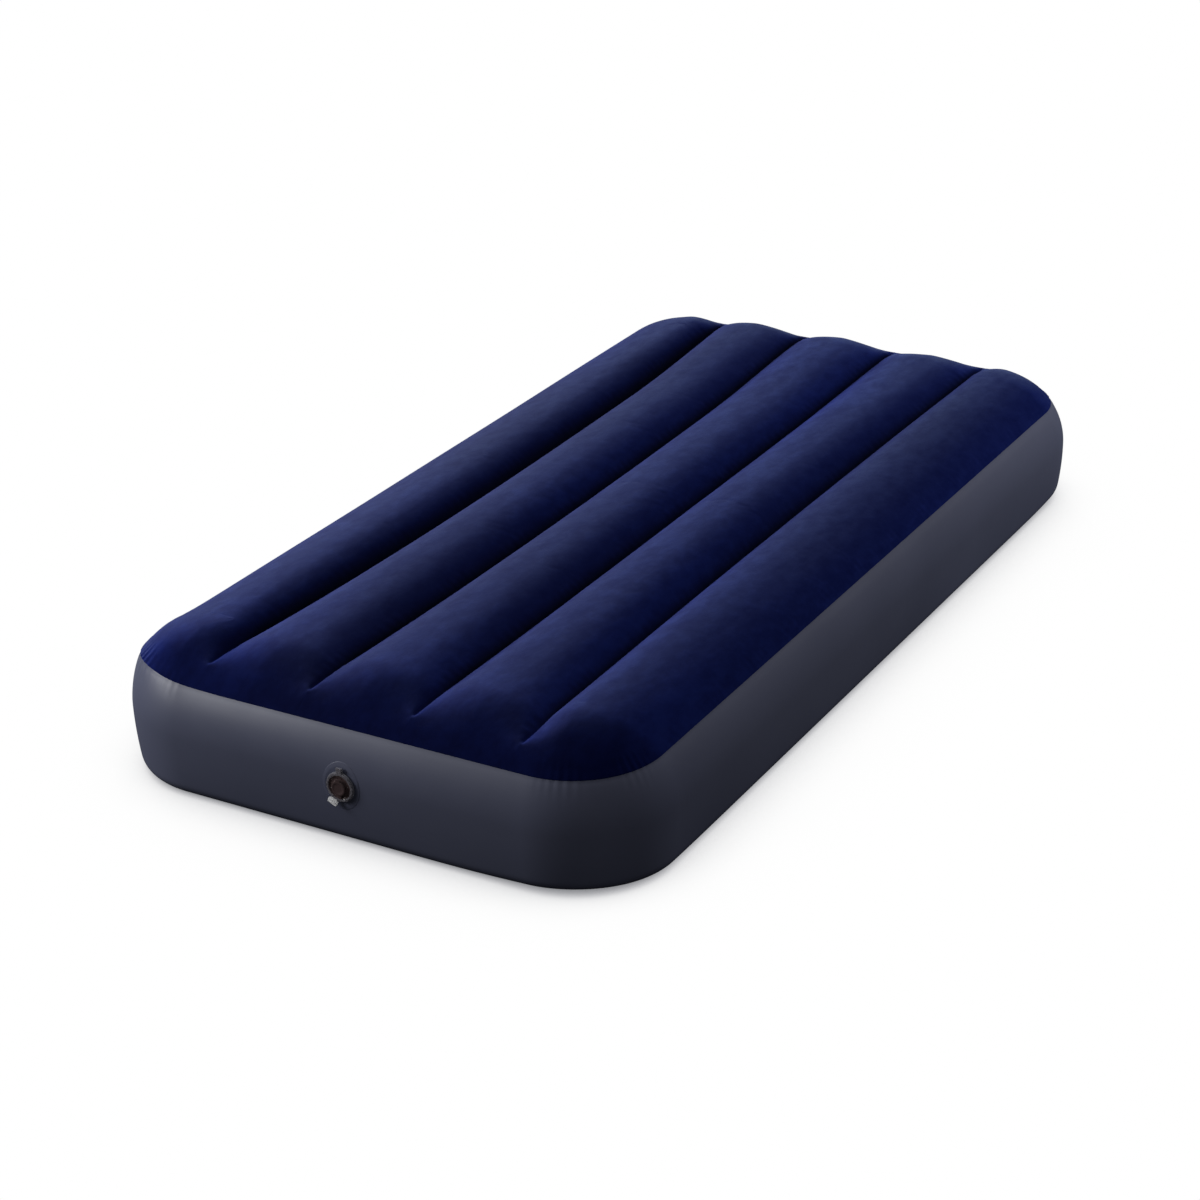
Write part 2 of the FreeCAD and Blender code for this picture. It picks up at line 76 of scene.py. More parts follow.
# The section is a chain of arcs that meet smoothly: roll-off, upper wall, flank and knee.
TOP_TURN = 2 * math.atan2(HEIGHT - SEAM_Z, CROWN_IN - SEAM_IN)
TOP_R = (CROWN_IN - SEAM_IN) / math.sin(TOP_TURN)
WALL_R = SEAM_IN / (1 - math.sin(TOP_TURN))
WIDE_Z = SEAM_Z - WALL_R * math.cos(TOP_TURN)
KNEE_Z = KNEE_R * (1 + math.cos(KNEE_TURN))
FLANK_R = (WIDE_Z - KNEE_Z) / (-math.cos(KNEE_TURN))
FLOOR_IN = FLANK_R * (1 - math.sin(KNEE_TURN)) + KNEE_R * math.sin(KNEE_TURN)


def unit(value):
    return np.clip(value, 0, 1)


def smooth(t):
    return t * t * (3 - 2 * t)


def bell(t):
    return np.exp(-(t**2))


def half_chord(radius, offset):
    return np.sqrt(np.maximum(radius**2 - offset**2, 0))


def top_z(inset):
    """Height of the roll-off."""
    return HEIGHT - TOP_R + half_chord(TOP_R, np.clip(CROWN_IN - inset, 0, None))


def low_z(inset):
    """Height of the underside below the base seam."""
    return KNEE_R - half_chord(KNEE_R, np.clip(FLOOR_IN - inset, 0, KNEE_R))


def wall_inset(z):
    """Inset of the wall's outer skin at height z."""
    z = np.asarray(z, float)
    upper = WALL_R - half_chord(WALL_R, z - WIDE_Z)
    flank = FLANK_R - half_chord(FLANK_R, WIDE_Z - z)
    knee = FLOOR_IN - half_chord(KNEE_R, KNEE_R - z)
    return np.where(z >= WIDE_Z, upper, np.where(z >= KNEE_Z, flank, knee))


def plan_inset(x, y):
    """Distance in from the widest outline, and the outward plan direction."""
    over_x = np.maximum(np.abs(x) - CORNER_X, 0)
    over_y = np.maximum(np.abs(y) - CORNER_Y, 0)
    reach = np.hypot(over_x, over_y)
    divisor = np.maximum(reach, 1e-9)
    return CORNER_R - reach, np.sign(x) * over_x / divisor, np.sign(y) * over_y / divisor


def corner_angle(x, y):
    over_y = np.maximum(np.abs(y) - CORNER_Y, 0)
    return np.arctan2(over_y, np.maximum(np.abs(x) - CORNER_X, 1e-9))


def along_outline(x, y):
    """Distance along the outline; mirrored in both middle planes."""
    flat_x, flat_y = np.abs(x), np.abs(y)
    end = CORNER_Y + CORNER_R * math.pi / 2 + (CORNER_X - flat_x)
    corner = CORNER_Y + CORNER_R * corner_angle(x, y)
    return np.where(flat_y <= CORNER_Y, flat_y, np.where(flat_x <= CORNER_X, end, corner))


def corner_weight(x, y):
    """0 on the straights, up to 1 at the middle of a corner."""
    in_corner = (np.abs(x) > CORNER_X) & (np.abs(y) > CORNER_Y)
    return np.where(in_corner, np.sin(2 * corner_angle(x, y)) ** 0.6, 0.0)


def wave(x, y, z, seed):
    """Smooth repeatable noise, about -1 to 1."""
    return (
        np.sin(x * 0.0131 + 1.7 * seed + 2.1 * np.sin(y * 0.0057 + seed))
        + np.sin(y * 0.0117 - 0.9 * seed + 1.7 * np.sin(x * 0.0091 - z * 0.011))
        + np.sin((x + y) * 0.0073 + z * 0.017 + 0.6 * seed)
    ) / 3.0


def pucker(x, y, from_seam):
    """Small ripples square to the welded seam, strongest round the corners."""
    along = along_outline(x, y)
    height = 0.10 + 0.75 * corner_weight(x, y)
    shift = np.sign(x) * 0.7 + np.sign(y) * 1.3      # sets the four quarters apart
    phase = along * 2 * math.pi / 17.0 + 1.9 * np.sin(along * 0.031 + shift) + shift
    gate = 0.55 + 0.45 * np.sin(along * 0.047 + 2.0 * shift)
    return height * gate * np.sin(phase) * bell(from_seam / 17.0)


# ---------------------------------------------------------------- how air pressure draws it in
MID_Y = -130.0                 # where the creases are drawn in most
DRAW_FOOT, DRAW_HEAD = 720.0, 915.0          # how far the drawing in reaches from MID_Y
DRAW_HEAD_LEFT = 1012.0
DROP_INNER, DROP_OUTER = 15.0, 21.0          # how much lower a crease lies at MID_Y
# at MID_Y: x on the straightened plan, and the move towards the middle
BEND_X = [0.0, 48.25, 96.5, 144.75, 193.0, 241.25, 289.5, 305.0, 325.0, 345.0, 470.0]
BEND_MOVE = [0.0, 2.6, 6.0, 8.6, 12.0, 15.6, 19.0, 14.5, 6.0, 0.0, 0.0]


def draw(y):
    """Share of the drawing in at y, 1 at MID_Y and 0 near the ends."""
    y = np.asarray(y, float)
    t = unit(np.abs(y - MID_Y) / np.where(y < MID_Y, DRAW_FOOT, DRAW_HEAD))
    return np.cos(math.pi / 2 * t)


def draw_left(y):
    """The left outer crease stays drawn in further towards the head."""
    y = np.asarray(y, float)
    t = unit((y - MID_Y) / DRAW_HEAD_LEFT)
    return np.where(y < MID_Y, draw(y), np.cos(math.pi / 2 * t) ** 0.62)


def bend_x(x, y):
    """Moves x on the straightened plan to where it lies once the bed is blown up."""
    x = np.asarray(x, float)
    share = draw(y) + (draw_left(y) - draw(y)) * unit((-x - PITCH) / 60.0)
    return x - np.sign(x) * np.interp(np.abs(x), BEND_X, BEND_MOVE) * share


def crease_z(outer, y, left=False):
    share = draw_left(y) if left and outer else draw(y)
    return CREASE_Z - (DROP_OUTER if outer else DROP_INNER) * share


def hump(x, y, mid_x, mid_y, spread_x, spread_y):
    return bell((x - mid_x) / spread_x) * bell((y - mid_y) / spread_y)


def heel(x, y):
    """How far the rounded corners of the underside stand off the floor."""
    return (
        7.0 * hump(x, y, 400, -930, 130, 140)
        + 12.0 * hump(x, y, 460, 905, 95, 120)
        + 5.0 * hump(x, y, -430, 930, 110, 120)
    )


def corner_lift(x, y, z):
    """The foot end's left corner stands higher; the others round off below."""
    high = unit((z - 40.0) / 150.0)
    low = unit((115.0 - z) / 115.0)
    return 9.5 * hump(x, y, -405, -915, 80, 85) * high * high + heel(x, y) * low**1.3


def corner_bulge(x, y):
    """The foot end's left corner also swells outwards about the seam."""
    return 7.5 * hump(x, y, -460, -865, 85, 85)


def crown_lift(x, y):
    """The head end is blown up slightly fuller towards its left."""
    side = np.interp(x, [-360, -260, 0, 170, 240, 340], [0.0, 9.0, 8.0, 0.0, -1.0, -5.0])
    return side * smooth(unit((y - 430.0) / 380.0))


# ---------------------------------------------------------------- tension field of the top
# Depth of the top sheet below its crown line. The beams hold it at the creases, air pressure
# rounds each chamber between them, and past the beams' ends it relaxes to the end roll.
COLS, ROWS = 172, 232
GRID_X = np.linspace(0, CROWN_X, COLS + 1)
GRID_Y = np.linspace(0, LENGTH / 2 - SEAM_IN, ROWS + 1)
STEP_X, STEP_Y = GRID_X[1] - GRID_X[0], GRID_Y[1] - GRID_Y[0]
SWEEPS, OVER_RELAX = 260, 1.9


def column_of(x):
    return int(round(x / STEP_X))


def relax_depth(depth, free, held, push):
    """Successive over-relaxation from `depth`, on the points that aren't held."""
    pull_x, pull_y = 1 / STEP_X**2, 1 / STEP_Y**2
    i, j = np.meshgrid(np.arange(COLS + 1), np.arange(ROWS + 1), indexing="ij")
    for _ in range(SWEEPS):
        for parity in (0, 1):
            turn = ((i + j) % 2 == parity) & free
            inner = np.vstack([depth[1:2], depth[:-1]])
            outer = np.vstack([depth[1:], depth[-1:]])
            near = np.hstack([depth[:, 1:2], depth[:, :-1]])
            far = np.hstack([depth[:, 1:], depth[:, -1:]])
            new = (pull_x * (inner + outer) + pull_y * (near + far) - push) / held
            depth = np.where(turn, np.maximum(depth + OVER_RELAX * (new - depth), 0.0), depth)
    return depth


def relax_quarter(end, left=False):
    """Depth on one quarter of the straightened plan; end is -1 for the foot, 1 for the head."""
    x, y = np.meshgrid(GRID_X, GRID_Y, indexing="ij")
    crown = top_z(plan_inset(x, y)[0])
    is_outer = x > PITCH
    drawn = np.where(is_outer & left, draw_left(end * y), draw(end * y))
    weld = np.where(is_outer, crease_z(True, end * y, left), crease_z(False, end * y))
    full = np.clip(crown - weld, 0, None)
    side_width = CROWN_X - OUTER_CREASE

    # load that gives each chamber its parabola, dying out over the end roll
    sag = np.clip(HEIGHT - weld, 1, None)
    roll = smooth(unit((y - (LENGTH / 2 - CROWN_IN)) / 40.0))
    push = 2 * sag / np.where(x > OUTER_CREASE, side_width, HALF_PITCH) ** 2 * (1 - roll)

    off = np.minimum(np.abs(x - HALF_PITCH), np.abs(x - OUTER_CREASE))
    reach = np.where(x < OUTER_CREASE, HALF_PITCH, side_width)
    depth = full * unit(1 - off / reach) ** 2
    free = np.ones_like(x, bool)
    for column in (column_of(HALF_PITCH), column_of(OUTER_CREASE)):
        welded = full[column] > 0
        free[column, welded] = False
        depth[column, welded] = full[column, welded]
    for column in (0, column_of(PITCH), COLS):   # crests stay on the crown line
        free[column, :] = False
        depth[column, :] = 0
    free[:, -1] = False
    depth[:, -1] = 0
    depth = relax_depth(depth, free, 2 * (1 / STEP_X**2 + 1 / STEP_Y**2), push)

    # round the chambers: the same share of depth, on a circle in place of the parabola
    share = unit(depth / np.maximum(full, 1e-6))
    half_width = np.where(
        x > OUTER_CREASE,
        CROWN_X - (OUTER_CREASE - 19.0 * drawn),
        HALF_PITCH - np.where(is_outer, 3.5, 3.0) * drawn,
    )
    radius = (half_width**2 + full**2) / (2 * np.maximum(full, 1e-6))
    circle = radius - np.sqrt(np.maximum(radius**2 - half_width**2 * share, 0))
    # the power gives fuller shoulders beside the weld
    circle = full * unit(circle / np.maximum(full, 1e-6)) ** 1.22
    blend = unit((full - 1.0) / 6.0)
    return np.where(full > 1.0, circle * blend + depth * (1 - blend), depth)


FIELD_FOOT = relax_quarter(-1)
FIELD_HEAD = relax_quarter(1)
FIELD_HEAD_LEFT = relax_quarter(1, left=True)


def field_at(x, y):
    """Depth below the crown line, at x on the straightened plan."""
    column = np.clip(np.abs(x) / STEP_X, 0, COLS - 1e-6)
    row = np.clip(np.abs(y) / STEP_Y, 0, ROWS - 1e-6)
    i, j = column.astype(int), row.astype(int)
    part_x, part_y = column - i, row - j

    def pick(field):
        return (
            field[i, j] * (1 - part_x) * (1 - part_y)
            + field[i + 1, j] * part_x * (1 - part_y)
            + field[i, j + 1] * (1 - part_x) * part_y
            + field[i + 1, j + 1] * part_x * part_y
        )

    head = np.where(x < 0, pick(FIELD_HEAD_LEFT), pick(FIELD_HEAD))
    return np.where(np.abs(x) >= CROWN_X, 0.0, np.where(y < 0, pick(FIELD_FOOT), head))


# ---------------------------------------------------------------- mesh helpers


def link_object(name, mesh, smooth_faces=True):
    if smooth_faces:
        mesh.polygons.foreach_set("use_smooth", [True] * len(mesh.polygons))
    obj = bpy.data.objects.new(name, mesh)
    bpy.context.scene.collection.objects.link(obj)
    return obj


def mesh_object(name, verts, faces, smooth_faces=True, scale=MM):
    mesh = bpy.data.meshes.new(name)
    points = [tuple(float(value) * scale for value in v) for v in verts]
    mesh.from_pydata(points, [], [tuple(int(i) for i in f) for f in faces])
    mesh.update()
    return link_object(name, mesh, smooth_faces)


@contextmanager
def edit(obj):
    work = bmesh.new()
    work.from_mesh(obj.data)
    yield work
    work.to_mesh(obj.data)
    work.free()


def face_outwards(obj, merge=None):
    """Makes the normals agree, after merging points closer than `merge` metres."""
    with edit(obj) as work:
        if merge:
            bmesh.ops.remove_doubles(work, verts=work.verts, dist=merge)
        bmesh.ops.recalc_face_normals(work, faces=work.faces)
    return obj


def sharpen(obj, degrees=40):
    with edit(obj) as work:
        for edge in work.edges:
            if len(edge.link_faces) == 2 and edge.calc_face_angle(0) > math.radians(degrees):
                edge.smooth = False
    return obj


def join(name, *parts):
    bpy.ops.object.select_all(action="DESELECT")
    for part in parts:
        part.select_set(True)
    bpy.context.view_layer.objects.active = parts[0]
    bpy.ops.object.join()
    parts[0].name = name
    return parts[0]


def point_values(obj, name, values):
    obj.data.attributes.new(name, "FLOAT", "POINT").data.foreach_set("value", values)


def spacing(start, end, step):
    count = max(1, int(round(abs(end - start) / step)))
    return list(np.linspace(start, end, count + 1))


def crease_columns(offsets, step):
    """Column positions across the bed, closer together beside each crease."""
    beside = {round(crease + side * off, 4)
              for crease in CREASES for off in offsets for side in (-1, 1)}
    stops = sorted({x for x in beside if abs(x) <= CORNER_X} | {-CORNER_X, CORNER_X})
    columns = []
    for start, end in zip(stops[:-1], stops[1:]):
        columns += spacing(start, end, step)[:-1]
    return columns + [stops[-1]]


def plan_grid(columns, rows, radii, steps):
    """Points and faces over a rounded rectangle: a straight grid, and a fan in each corner."""
    points, ids, faces = [], {}, []

    def add_point(x, y):
        key = (round(x, 3), round(y, 3))
        if key not in ids:
            ids[key] = len(points)
            points.append((x, y))
        return ids[key]

    def extend(line, limit):
        outer = radii[1:]
        return [-limit - r for r in reversed(outer)] + list(line) + [limit + r for r in outer]

    xs, ys = extend(columns, CORNER_X), extend(rows, CORNER_Y)
    for x0, x1 in zip(xs[:-1], xs[1:]):
        for y0, y1 in zip(ys[:-1], ys[1:]):
            if abs((x0 + x1) / 2) > CORNER_X and abs((y0 + y1) / 2) > CORNER_Y:
                continue
            faces.append(tuple(add_point(*p) for p in ((x0, y0), (x1, y0), (x1, y1), (x0, y1))))

    def fan_point(side_x, side_y, radius, angle):
        # exact zeros, so the fan meets the straight grid
        cos = 0.0 if abs(angle - math.pi / 2) < 1e-9 else math.cos(angle)
        sin = 0.0 if abs(angle) < 1e-9 else math.sin(angle)
        return add_point(side_x * (CORNER_X + radius * cos), side_y * (CORNER_Y + radius * sin))

    for side_x in (-1, 1):
        for side_y in (-1, 1):
            for k in range(steps):
                a0, a1 = math.pi / 2 * k / steps, math.pi / 2 * (k + 1) / steps
                for r0, r1 in zip(radii[:-1], radii[1:]):
                    polar = ((r0, a0), (r1, a0), (r1, a1), (r0, a1))
                    face = [fan_point(side_x, side_y, r, a) for r, a in polar]
                    if side_x * side_y < 0:
                        face.reverse()
                    face = [v for n, v in enumerate(face) if v != face[n - 1]]
                    if len(face) > 2:
                        faces.append(tuple(face))
    return np.array(points), faces


# ---------------------------------------------------------------- flocked top sheet


def top_surface(flat_x, x, y, inset):
    """Crown line and height of the sheet; flat_x is x on the straightened plan."""
    dip = field_at(flat_x, y)
    past_seam = inset - SEAM_IN
    # outer chambers sit a little lower at mid length
    outer = unit((np.abs(flat_x) - 270.0) / 60.0)
    crown = top_z(inset) - 6.0 * draw(y) * outer * unit(past_seam / 70.0)
    z = crown - dip + crown_lift(x, y) * unit(past_seam / 90.0)
    # weld line pressed into the bottom of each crease, fading out at its tip
    hold = unit((crown - CREASE_Z) / 6.0)
    for crease in CREASES:
        off = np.abs(flat_x - crease)
        z -= PINCH * hold * bell(off / 5.5) + GROOVE * hold * bell(off / 2.2)
        # the sheet gathers a little along the weld
        gather = np.sin(y * 2 * math.pi / 21.0 + 1.6 * np.sin(y * 0.021 + crease)) * (
            0.5 + 0.5 * np.sin(y * 0.034 + 0.02 * crease)
        )
        z += 0.30 * hold * gather * bell((off - 9.0) / 8.0)
    z += 0.7 * wave(x, y, 0, 0.4) * unit(past_seam / 60.0) * (1 - unit(dip / 28))
    z += corner_lift(x, y, z)
    # the foot end's left corner is fuller
    fat = unit(past_seam / 30.0) * (1 - unit((inset - 60.0) / 110.0)) ** 2
    z += 5.0 * hump(x, y, -430, -860, 90, 90) * fat
    return crown, z


def fold_edge(verts, faces, rim, down, outward):
    """Folds the welded edge under, so the sheet shows a thickness."""
    first = {}
    for i in rim:
        first[i] = len(verts)
        edge = np.array(verts[i])
        for along, under in ((0.5, 0.25), (0.6, 0.9), (-2.5, 1.7)):
            verts.append(tuple(edge + down[i] * along - outward[i] * under))
    uses = {}
    for face in faces:
        for a, b in zip(face, face[1:] + face[:1]):
            if a in first and b in first:
                uses.setdefault(frozenset((a, b)), []).append((a, b))
    for pairs in uses.values():
        if len(pairs) != 1:
            continue
        a, b = pairs[0]
        last_a, last_b = a, b
        for k in range(3):
            next_a, next_b = first[a] + k, first[b] + k
            faces.append((last_b, last_a, next_a, next_b))
            last_a, last_b = next_a, next_b


def build_top():
    seam_r = CORNER_R - SEAM_IN
    radii = [0.0] + spacing(3.0, seam_r - 9.0, 4.6)
    radii += [seam_r - back for back in (6.0, 3.6, 1.8, 0.7, 0.0)]
    columns = crease_columns((0, 1.3, 2.8, 4.6, 7.0, 10.5, 15.0, 20.5), 6.2)
    points, faces = plan_grid(columns, spacing(-CORNER_Y, CORNER_Y, 5.0), radii, 64)
    flat_x, y = points[:, 0], points[:, 1]
    x = bend_x(flat_x, y)
    inset, nx, ny = plan_inset(flat_x, y)
    crown, z = top_surface(flat_x, x, y, inset)
    past_seam = inset - SEAM_IN

    # puckers run square to the seam
    slope = np.clip((CROWN_IN - inset) / TOP_R, 0, 0.79)
    upright = np.sqrt(1 - slope**2)
    lip = 0.9 * unit(1 - past_seam / 9.0) ** 0.5
    off = pucker(x, y, past_seam) + lip
    swell = corner_bulge(x, y) * (1 - unit(past_seam / 75.0)) ** 2
    push = slope * off + swell
    skin = np.stack([x + nx * push, y + ny * push, z + upright * off], 1)
    verts = [tuple(v) for v in skin]

    rim = [i for i in range(len(points)) if abs(past_seam[i]) < 0.02]
    down = np.stack([nx * upright, ny * upright, -slope], 1)
    outward = np.stack([nx * slope, ny * slope, upright], 1)
    fold_edge(verts, faces, rim, down, outward)

    obj = mesh_object("flocked_top", verts, faces)
    # 1 along the creases: painted shade, which the flock material uses to darken its colour and
    #                      sheen there
    near = np.min([np.abs(flat_x - crease) for crease in CREASES], 0)
    tip = unit((np.where(y < 0, 865.0, 890.0) - np.abs(y)) / np.where(y < 0, 110.0, 30.0))
    shade = np.zeros(len(verts))
    shade[: len(points)] = bell(near / 10.0) * unit((crown - CREASE_Z) / 14.0) * tip
    point_values(obj, "crease", shade)
    return obj


SETTLE_FRAMES = 12
SETTLE_MOST = 0.0013       # farthest a point may move, in metres
CLOTH = dict(
    quality=3, mass=0.3, air_damping=4.0,
    tension_stiffness=25.0, compression_stiffness=8.0,
    shear_stiffness=5.0, bending_stiffness=0.25,
    tension_damping=12.0, compression_damping=12.0, shear_damping=8.0,
    vertex_group_mass="held", pin_stiffness=4.0,
    shrink_min=-0.0007, shrink_max=-0.0007,       # below 0, so the sheet is a shade too long
    use_pressure=True, uniform_pressure_force=3.0,
)


def settle(obj):
    """Lets the sheet settle as cloth under air pressure, held at its seam and along the welds.

    The sheet is a shade longer than the shape it starts from, so it takes up faint wrinkles.
    """
    start = np.array([v.co for v in obj.data.vertices], float)
    count = len(start)
    x, y = start[:, 0] / MM, start[:, 1] / MM
    inset = plan_inset(x, y)[0]
    hold = unit(1 - (inset - SEAM_IN - 1.0) / 9.0)
    for crease in CREASES:
        off = np.abs(x - bend_x(np.full(count, crease), y))
        tip = unit((895.0 - np.abs(y)) / 25.0)
        hold = np.maximum(hold, unit(1 - (off - 2.0) / 4.5) * tip)
    group = obj.vertex_groups.new(name="held")
    for level in range(1, 11):
        ids = np.nonzero(np.round(hold * 10) == level)[0]
        if len(ids):
            group.add([int(i) for i in ids], level / 10.0, "REPLACE")

    cloth = obj.modifiers.new("air", "CLOTH")
    for key, value in CLOTH.items():
        setattr(cloth.settings, key, value)
    cloth.settings.effector_weights.gravity = 0.0
    cloth.collision_settings.use_collision = False
    cloth.point_cache.frame_start = 1
    cloth.point_cache.frame_end = SETTLE_FRAMES
    scene = bpy.context.scene
    for frame in range(1, SETTLE_FRAMES + 1):
        scene.frame_set(frame)
    soft = obj.evaluated_get(bpy.context.evaluated_depsgraph_get())
    moved = np.empty(count * 3)
    soft.data.vertices.foreach_get("co", moved)
    move = moved.reshape(-1, 3) - start
    size = np.linalg.norm(move, axis=1)
    if not np.isfinite(size).all():    # guards against a simulation that blows up
        move, size = np.zeros_like(start), np.zeros(count)
    limited = SETTLE_MOST * np.tanh(size / SETTLE_MOST) / np.maximum(size, 1e-9)
    move *= np.where(size > 1e-9, limited, 0.0)[:, None]
    obj.modifiers.remove(cloth)
    obj.vertex_groups.clear()
    scene.frame_set(1)
    obj.data.vertices.foreach_set("co", (start + move).ravel())
    obj.data.update()


# ---------------------------------------------------------------- wall
SIDE_STEP, CORNER_STEPS = 9.0, 72
PATCH_HALF = 54.0      # half side of the square of wall that is re-meshed round the valve
PATCH_RINGS = 7
HOLE_R = 30.2
HOLE_TALL = 1.27       # a tall hole keeps the collar clear of its edge when the bed sinks
TUCK = 2.2             # the wall's top edge lies this far in behind the flocked sheet


def outline():
    """Rows of x, y, nx, ny: the skin lies at (x, y) + (nx, ny) * (CORNER_R - inset)."""
    corners = [(-CORNER_X, -CORNER_Y), (CORNER_X, -CORNER_Y),
               (CORNER_X, CORNER_Y), (-CORNER_X, CORNER_Y)]
    normals = [(0.0, -1.0), (1.0, 0.0), (0.0, 1.0), (-1.0, 0.0)]
    rows = []
    for side in range(4):
        (x0, y0), (x1, y1) = corners[side], corners[(side + 1) % 4]
        count = round(max(abs(x1 - x0), abs(y1 - y0)) / SIDE_STEP)
        line = zip(np.linspace(x0, x1, count + 1)[:-1], np.linspace(y0, y1, count + 1)[:-1])
        rows += [(x, y, *normals[side]) for x, y in line]
        for k in range(CORNER_STEPS):
            angle = (side - 1) * math.pi / 2 + math.pi / 2 * k / CORNER_STEPS
            rows.append((x1, y1, math.cos(angle), math.sin(angle)))
    return np.array(rows)


def wall_points(ring, height):
    """Outer skin of the wall, with puckers and a gentle unevenness."""
    x0, y0, nx, ny = ring.T
    z = np.full(len(ring), height)
    inset = wall_inset(z)
    x, y = x0 + nx * (CORNER_R - inset), y0 + ny * (CORNER_R - inset)
    wide_x, wide_y = x0 + nx * CORNER_R, y0 + ny * CORNER_R
    mid_flank = np.sin(unit((z - BASE_Z) / (SEAM_Z - BASE_Z)) * math.pi)
    uneven = 0.55 * wave(wide_x * 1.3, wide_y * 1.3, z, 2.2) * mid_flank
    # calm about the valve
    away = np.hypot(wide_x, z - VALVE_Z)
    calm = np.where(wide_y < -CORNER_Y, unit((away - 40.0) / 60.0), 1.0)
    # the weld under the top sheet's edge presses a shallow band into the wall
    weld = -0.35 * bell((SEAM_Z - z - 4.0) / 2.2)
    bulge = corner_bulge(x, y) * unit((z - 125.0) / 66.0) ** 2
    off = pucker(wide_x, wide_y, SEAM_Z - z) + uneven * calm + weld + bulge
    x, y = x + nx * off, y + ny * off
    return np.stack([x, y, z + corner_lift(x, y, z)], -1)


def foot_wall_point(x, z):
    return wall_points(np.array([[x, -CORNER_Y, 0.0, -1.0]]), z)[0]


def build_wall():
    ring = outline()
    levels = np.array(
        [SEAM_Z - drop for drop in (-1.2, 0.0, 1.2, 2.6, 4.0, 5.6, 8.0)]
        + spacing(SEAM_Z - 12.0, VALVE_Z + PATCH_HALF, 5.0)
        + spacing(VALVE_Z + PATCH_HALF, VALVE_Z - PATCH_HALF, 6.0)[1:]
        + spacing(VALVE_Z - PATCH_HALF, 28.0, 4.5)[1:]
        + [24.0, 20.0, 16.5, 13.8, BASE_Z - 0.4]
    )
    count = len(ring)
    verts = np.concatenate([wall_points(ring, z) for z in levels])
    verts[:count, :2] -= ring[:, 2:] * TUCK

    faces, hole = [], []
    for k in range(len(levels) - 1):
        mid_z = (levels[k] + levels[k + 1]) / 2
        for i in range(count):
            j = (i + 1) % count
            on_foot = (
                ring[i, 3] < -0.999 and ring[j, 3] < -0.999 and abs(ring[i, 1] + CORNER_Y) < 1e-6
            )
            mid_x = (ring[i, 0] + ring[j, 0]) / 2
            if on_foot and abs(mid_x) < PATCH_HALF and abs(mid_z - VALVE_Z) < PATCH_HALF:
                hole.append((i, k))
                continue
            a, b = k * count, (k + 1) * count
            faces.append((a + i, a + j, b + j, b + i))

    # boundary of the missing square, in order of angle about the valve
    uses = {}
    for i, k in hole:
        a, b = k * count + i, (k + 1) * count + i
        for v in (a, a + 1, b, b + 1):
            uses[v] = uses.get(v, 0) + 1
    border = [v for v, times in uses.items() if times < 4]
    border.sort(key=lambda v: math.atan2(verts[v][2] - VALVE_Z, verts[v][0]))

    # rings that pass from the square to the valve's hole
    verts = [tuple(v) for v in verts]
    rings = [border]
    for step in range(1, PATCH_RINGS + 1):
        t = step / PATCH_RINGS
        row = []
        for v in border:
            x, z = verts[v][0], verts[v][2] - VALVE_Z
            angle = math.atan2(z, x)
            x = x * (1 - t) + HOLE_R * math.cos(angle) * t
            z = z * (1 - t) + HOLE_R * HOLE_TALL * math.sin(angle) * t + VALVE_Z
            row.append(len(verts))
            verts.append(tuple(foot_wall_point(x, z)))
        rings.append(row)
    for outer, inner in zip(rings[:-1], rings[1:]):
        for i in range(len(outer)):
            j = (i + 1) % len(outer)
            faces.append((outer[i], inner[i], inner[j], outer[j]))
    return face_outwards(mesh_object("vinyl_wall", verts, faces))


def build_join_strip():
    """Lap strip inside the head end, where the two ends of the wall band meet."""
    levels = spacing(20.0, 184.0, 6.0)
    columns = [-12.8, -12.5, -6, 0, 6, 12.5, 12.8]
    verts = [
        (x, LENGTH / 2 - float(wall_inset(z)) - skin, z)
        for skin in (2.0, 3.0) for z in levels for x in columns
    ]
    wide = len(columns)
    layer = wide * len(levels)
    faces = []
    for k in range(len(levels) - 1):
        for i in range(wide - 1):
            a = k * wide + i
            b = layer + a
            faces.append((a, a + 1, a + wide + 1, a + wide))
            faces.append((b, b + wide, b + wide + 1, b + 1))
    return mesh_object("wall_join_lap", verts, faces)


# ---------------------------------------------------------------- base
FLUTE_R = 80.0             # arc of the hollow under each crease
FLUTE_HALF = 34.5
FLUTE_END = 888.0


def build_base():
    seam_r = CORNER_R - float(wall_inset(BASE_Z))
    radii = [0.0] + spacing(6.0, seam_r - 14.0, 9.0)
    radii += [seam_r - back for back in (10.0, 7.0, 4.4, 2.2, 0.8, 0.0)]
    columns = crease_columns((0, 2, 4.5, 8, 12, 17, 23, 29, FLUTE_HALF), 12.0)
    points, faces = plan_grid(columns, spacing(-CORNER_Y, CORNER_Y, 12.0), radii, 48)
    flat_x, y = points[:, 0], points[:, 1]
    x = bend_x(flat_x, y)
    z = low_z(plan_inset(flat_x, y)[0])
    end = smooth(unit((FLUTE_END - np.abs(y)) / 40.0))
    for crease in CREASES:
        off = np.clip(np.abs(x - bend_x(np.full_like(y, crease), y)), 0, FLUTE_HALF)
        arc = 79.4 - np.sqrt(FLUTE_R**2 - (44.0 - off) ** 2)
        z = np.maximum(z, np.clip(arc, 0, None) * end)
    z = z + corner_lift(x, y, z)
    faces = [tuple(reversed(face)) for face in faces]
    return mesh_object("vinyl_base", np.stack([x, y, z], 1), faces)


# ---------------------------------------------------------------- inside: beams and tapes
WEB_HALF, WEB_LOW_Z = 879.0, 15.9
WEB_GAP = 1.2                      # from the web's upper edge to the tape's top
WEB_ROWS, WEB_LEVELS = 220, 14
TAPE_HALF, TAPE_HALF_WIDTH, PAD_R = 880.0, 7.0, 10.8
TAPE_ROWS = 360
LOWER_TAPE_BOTTOM, LOWER_TAPE_TOP = 14.75, 15.7


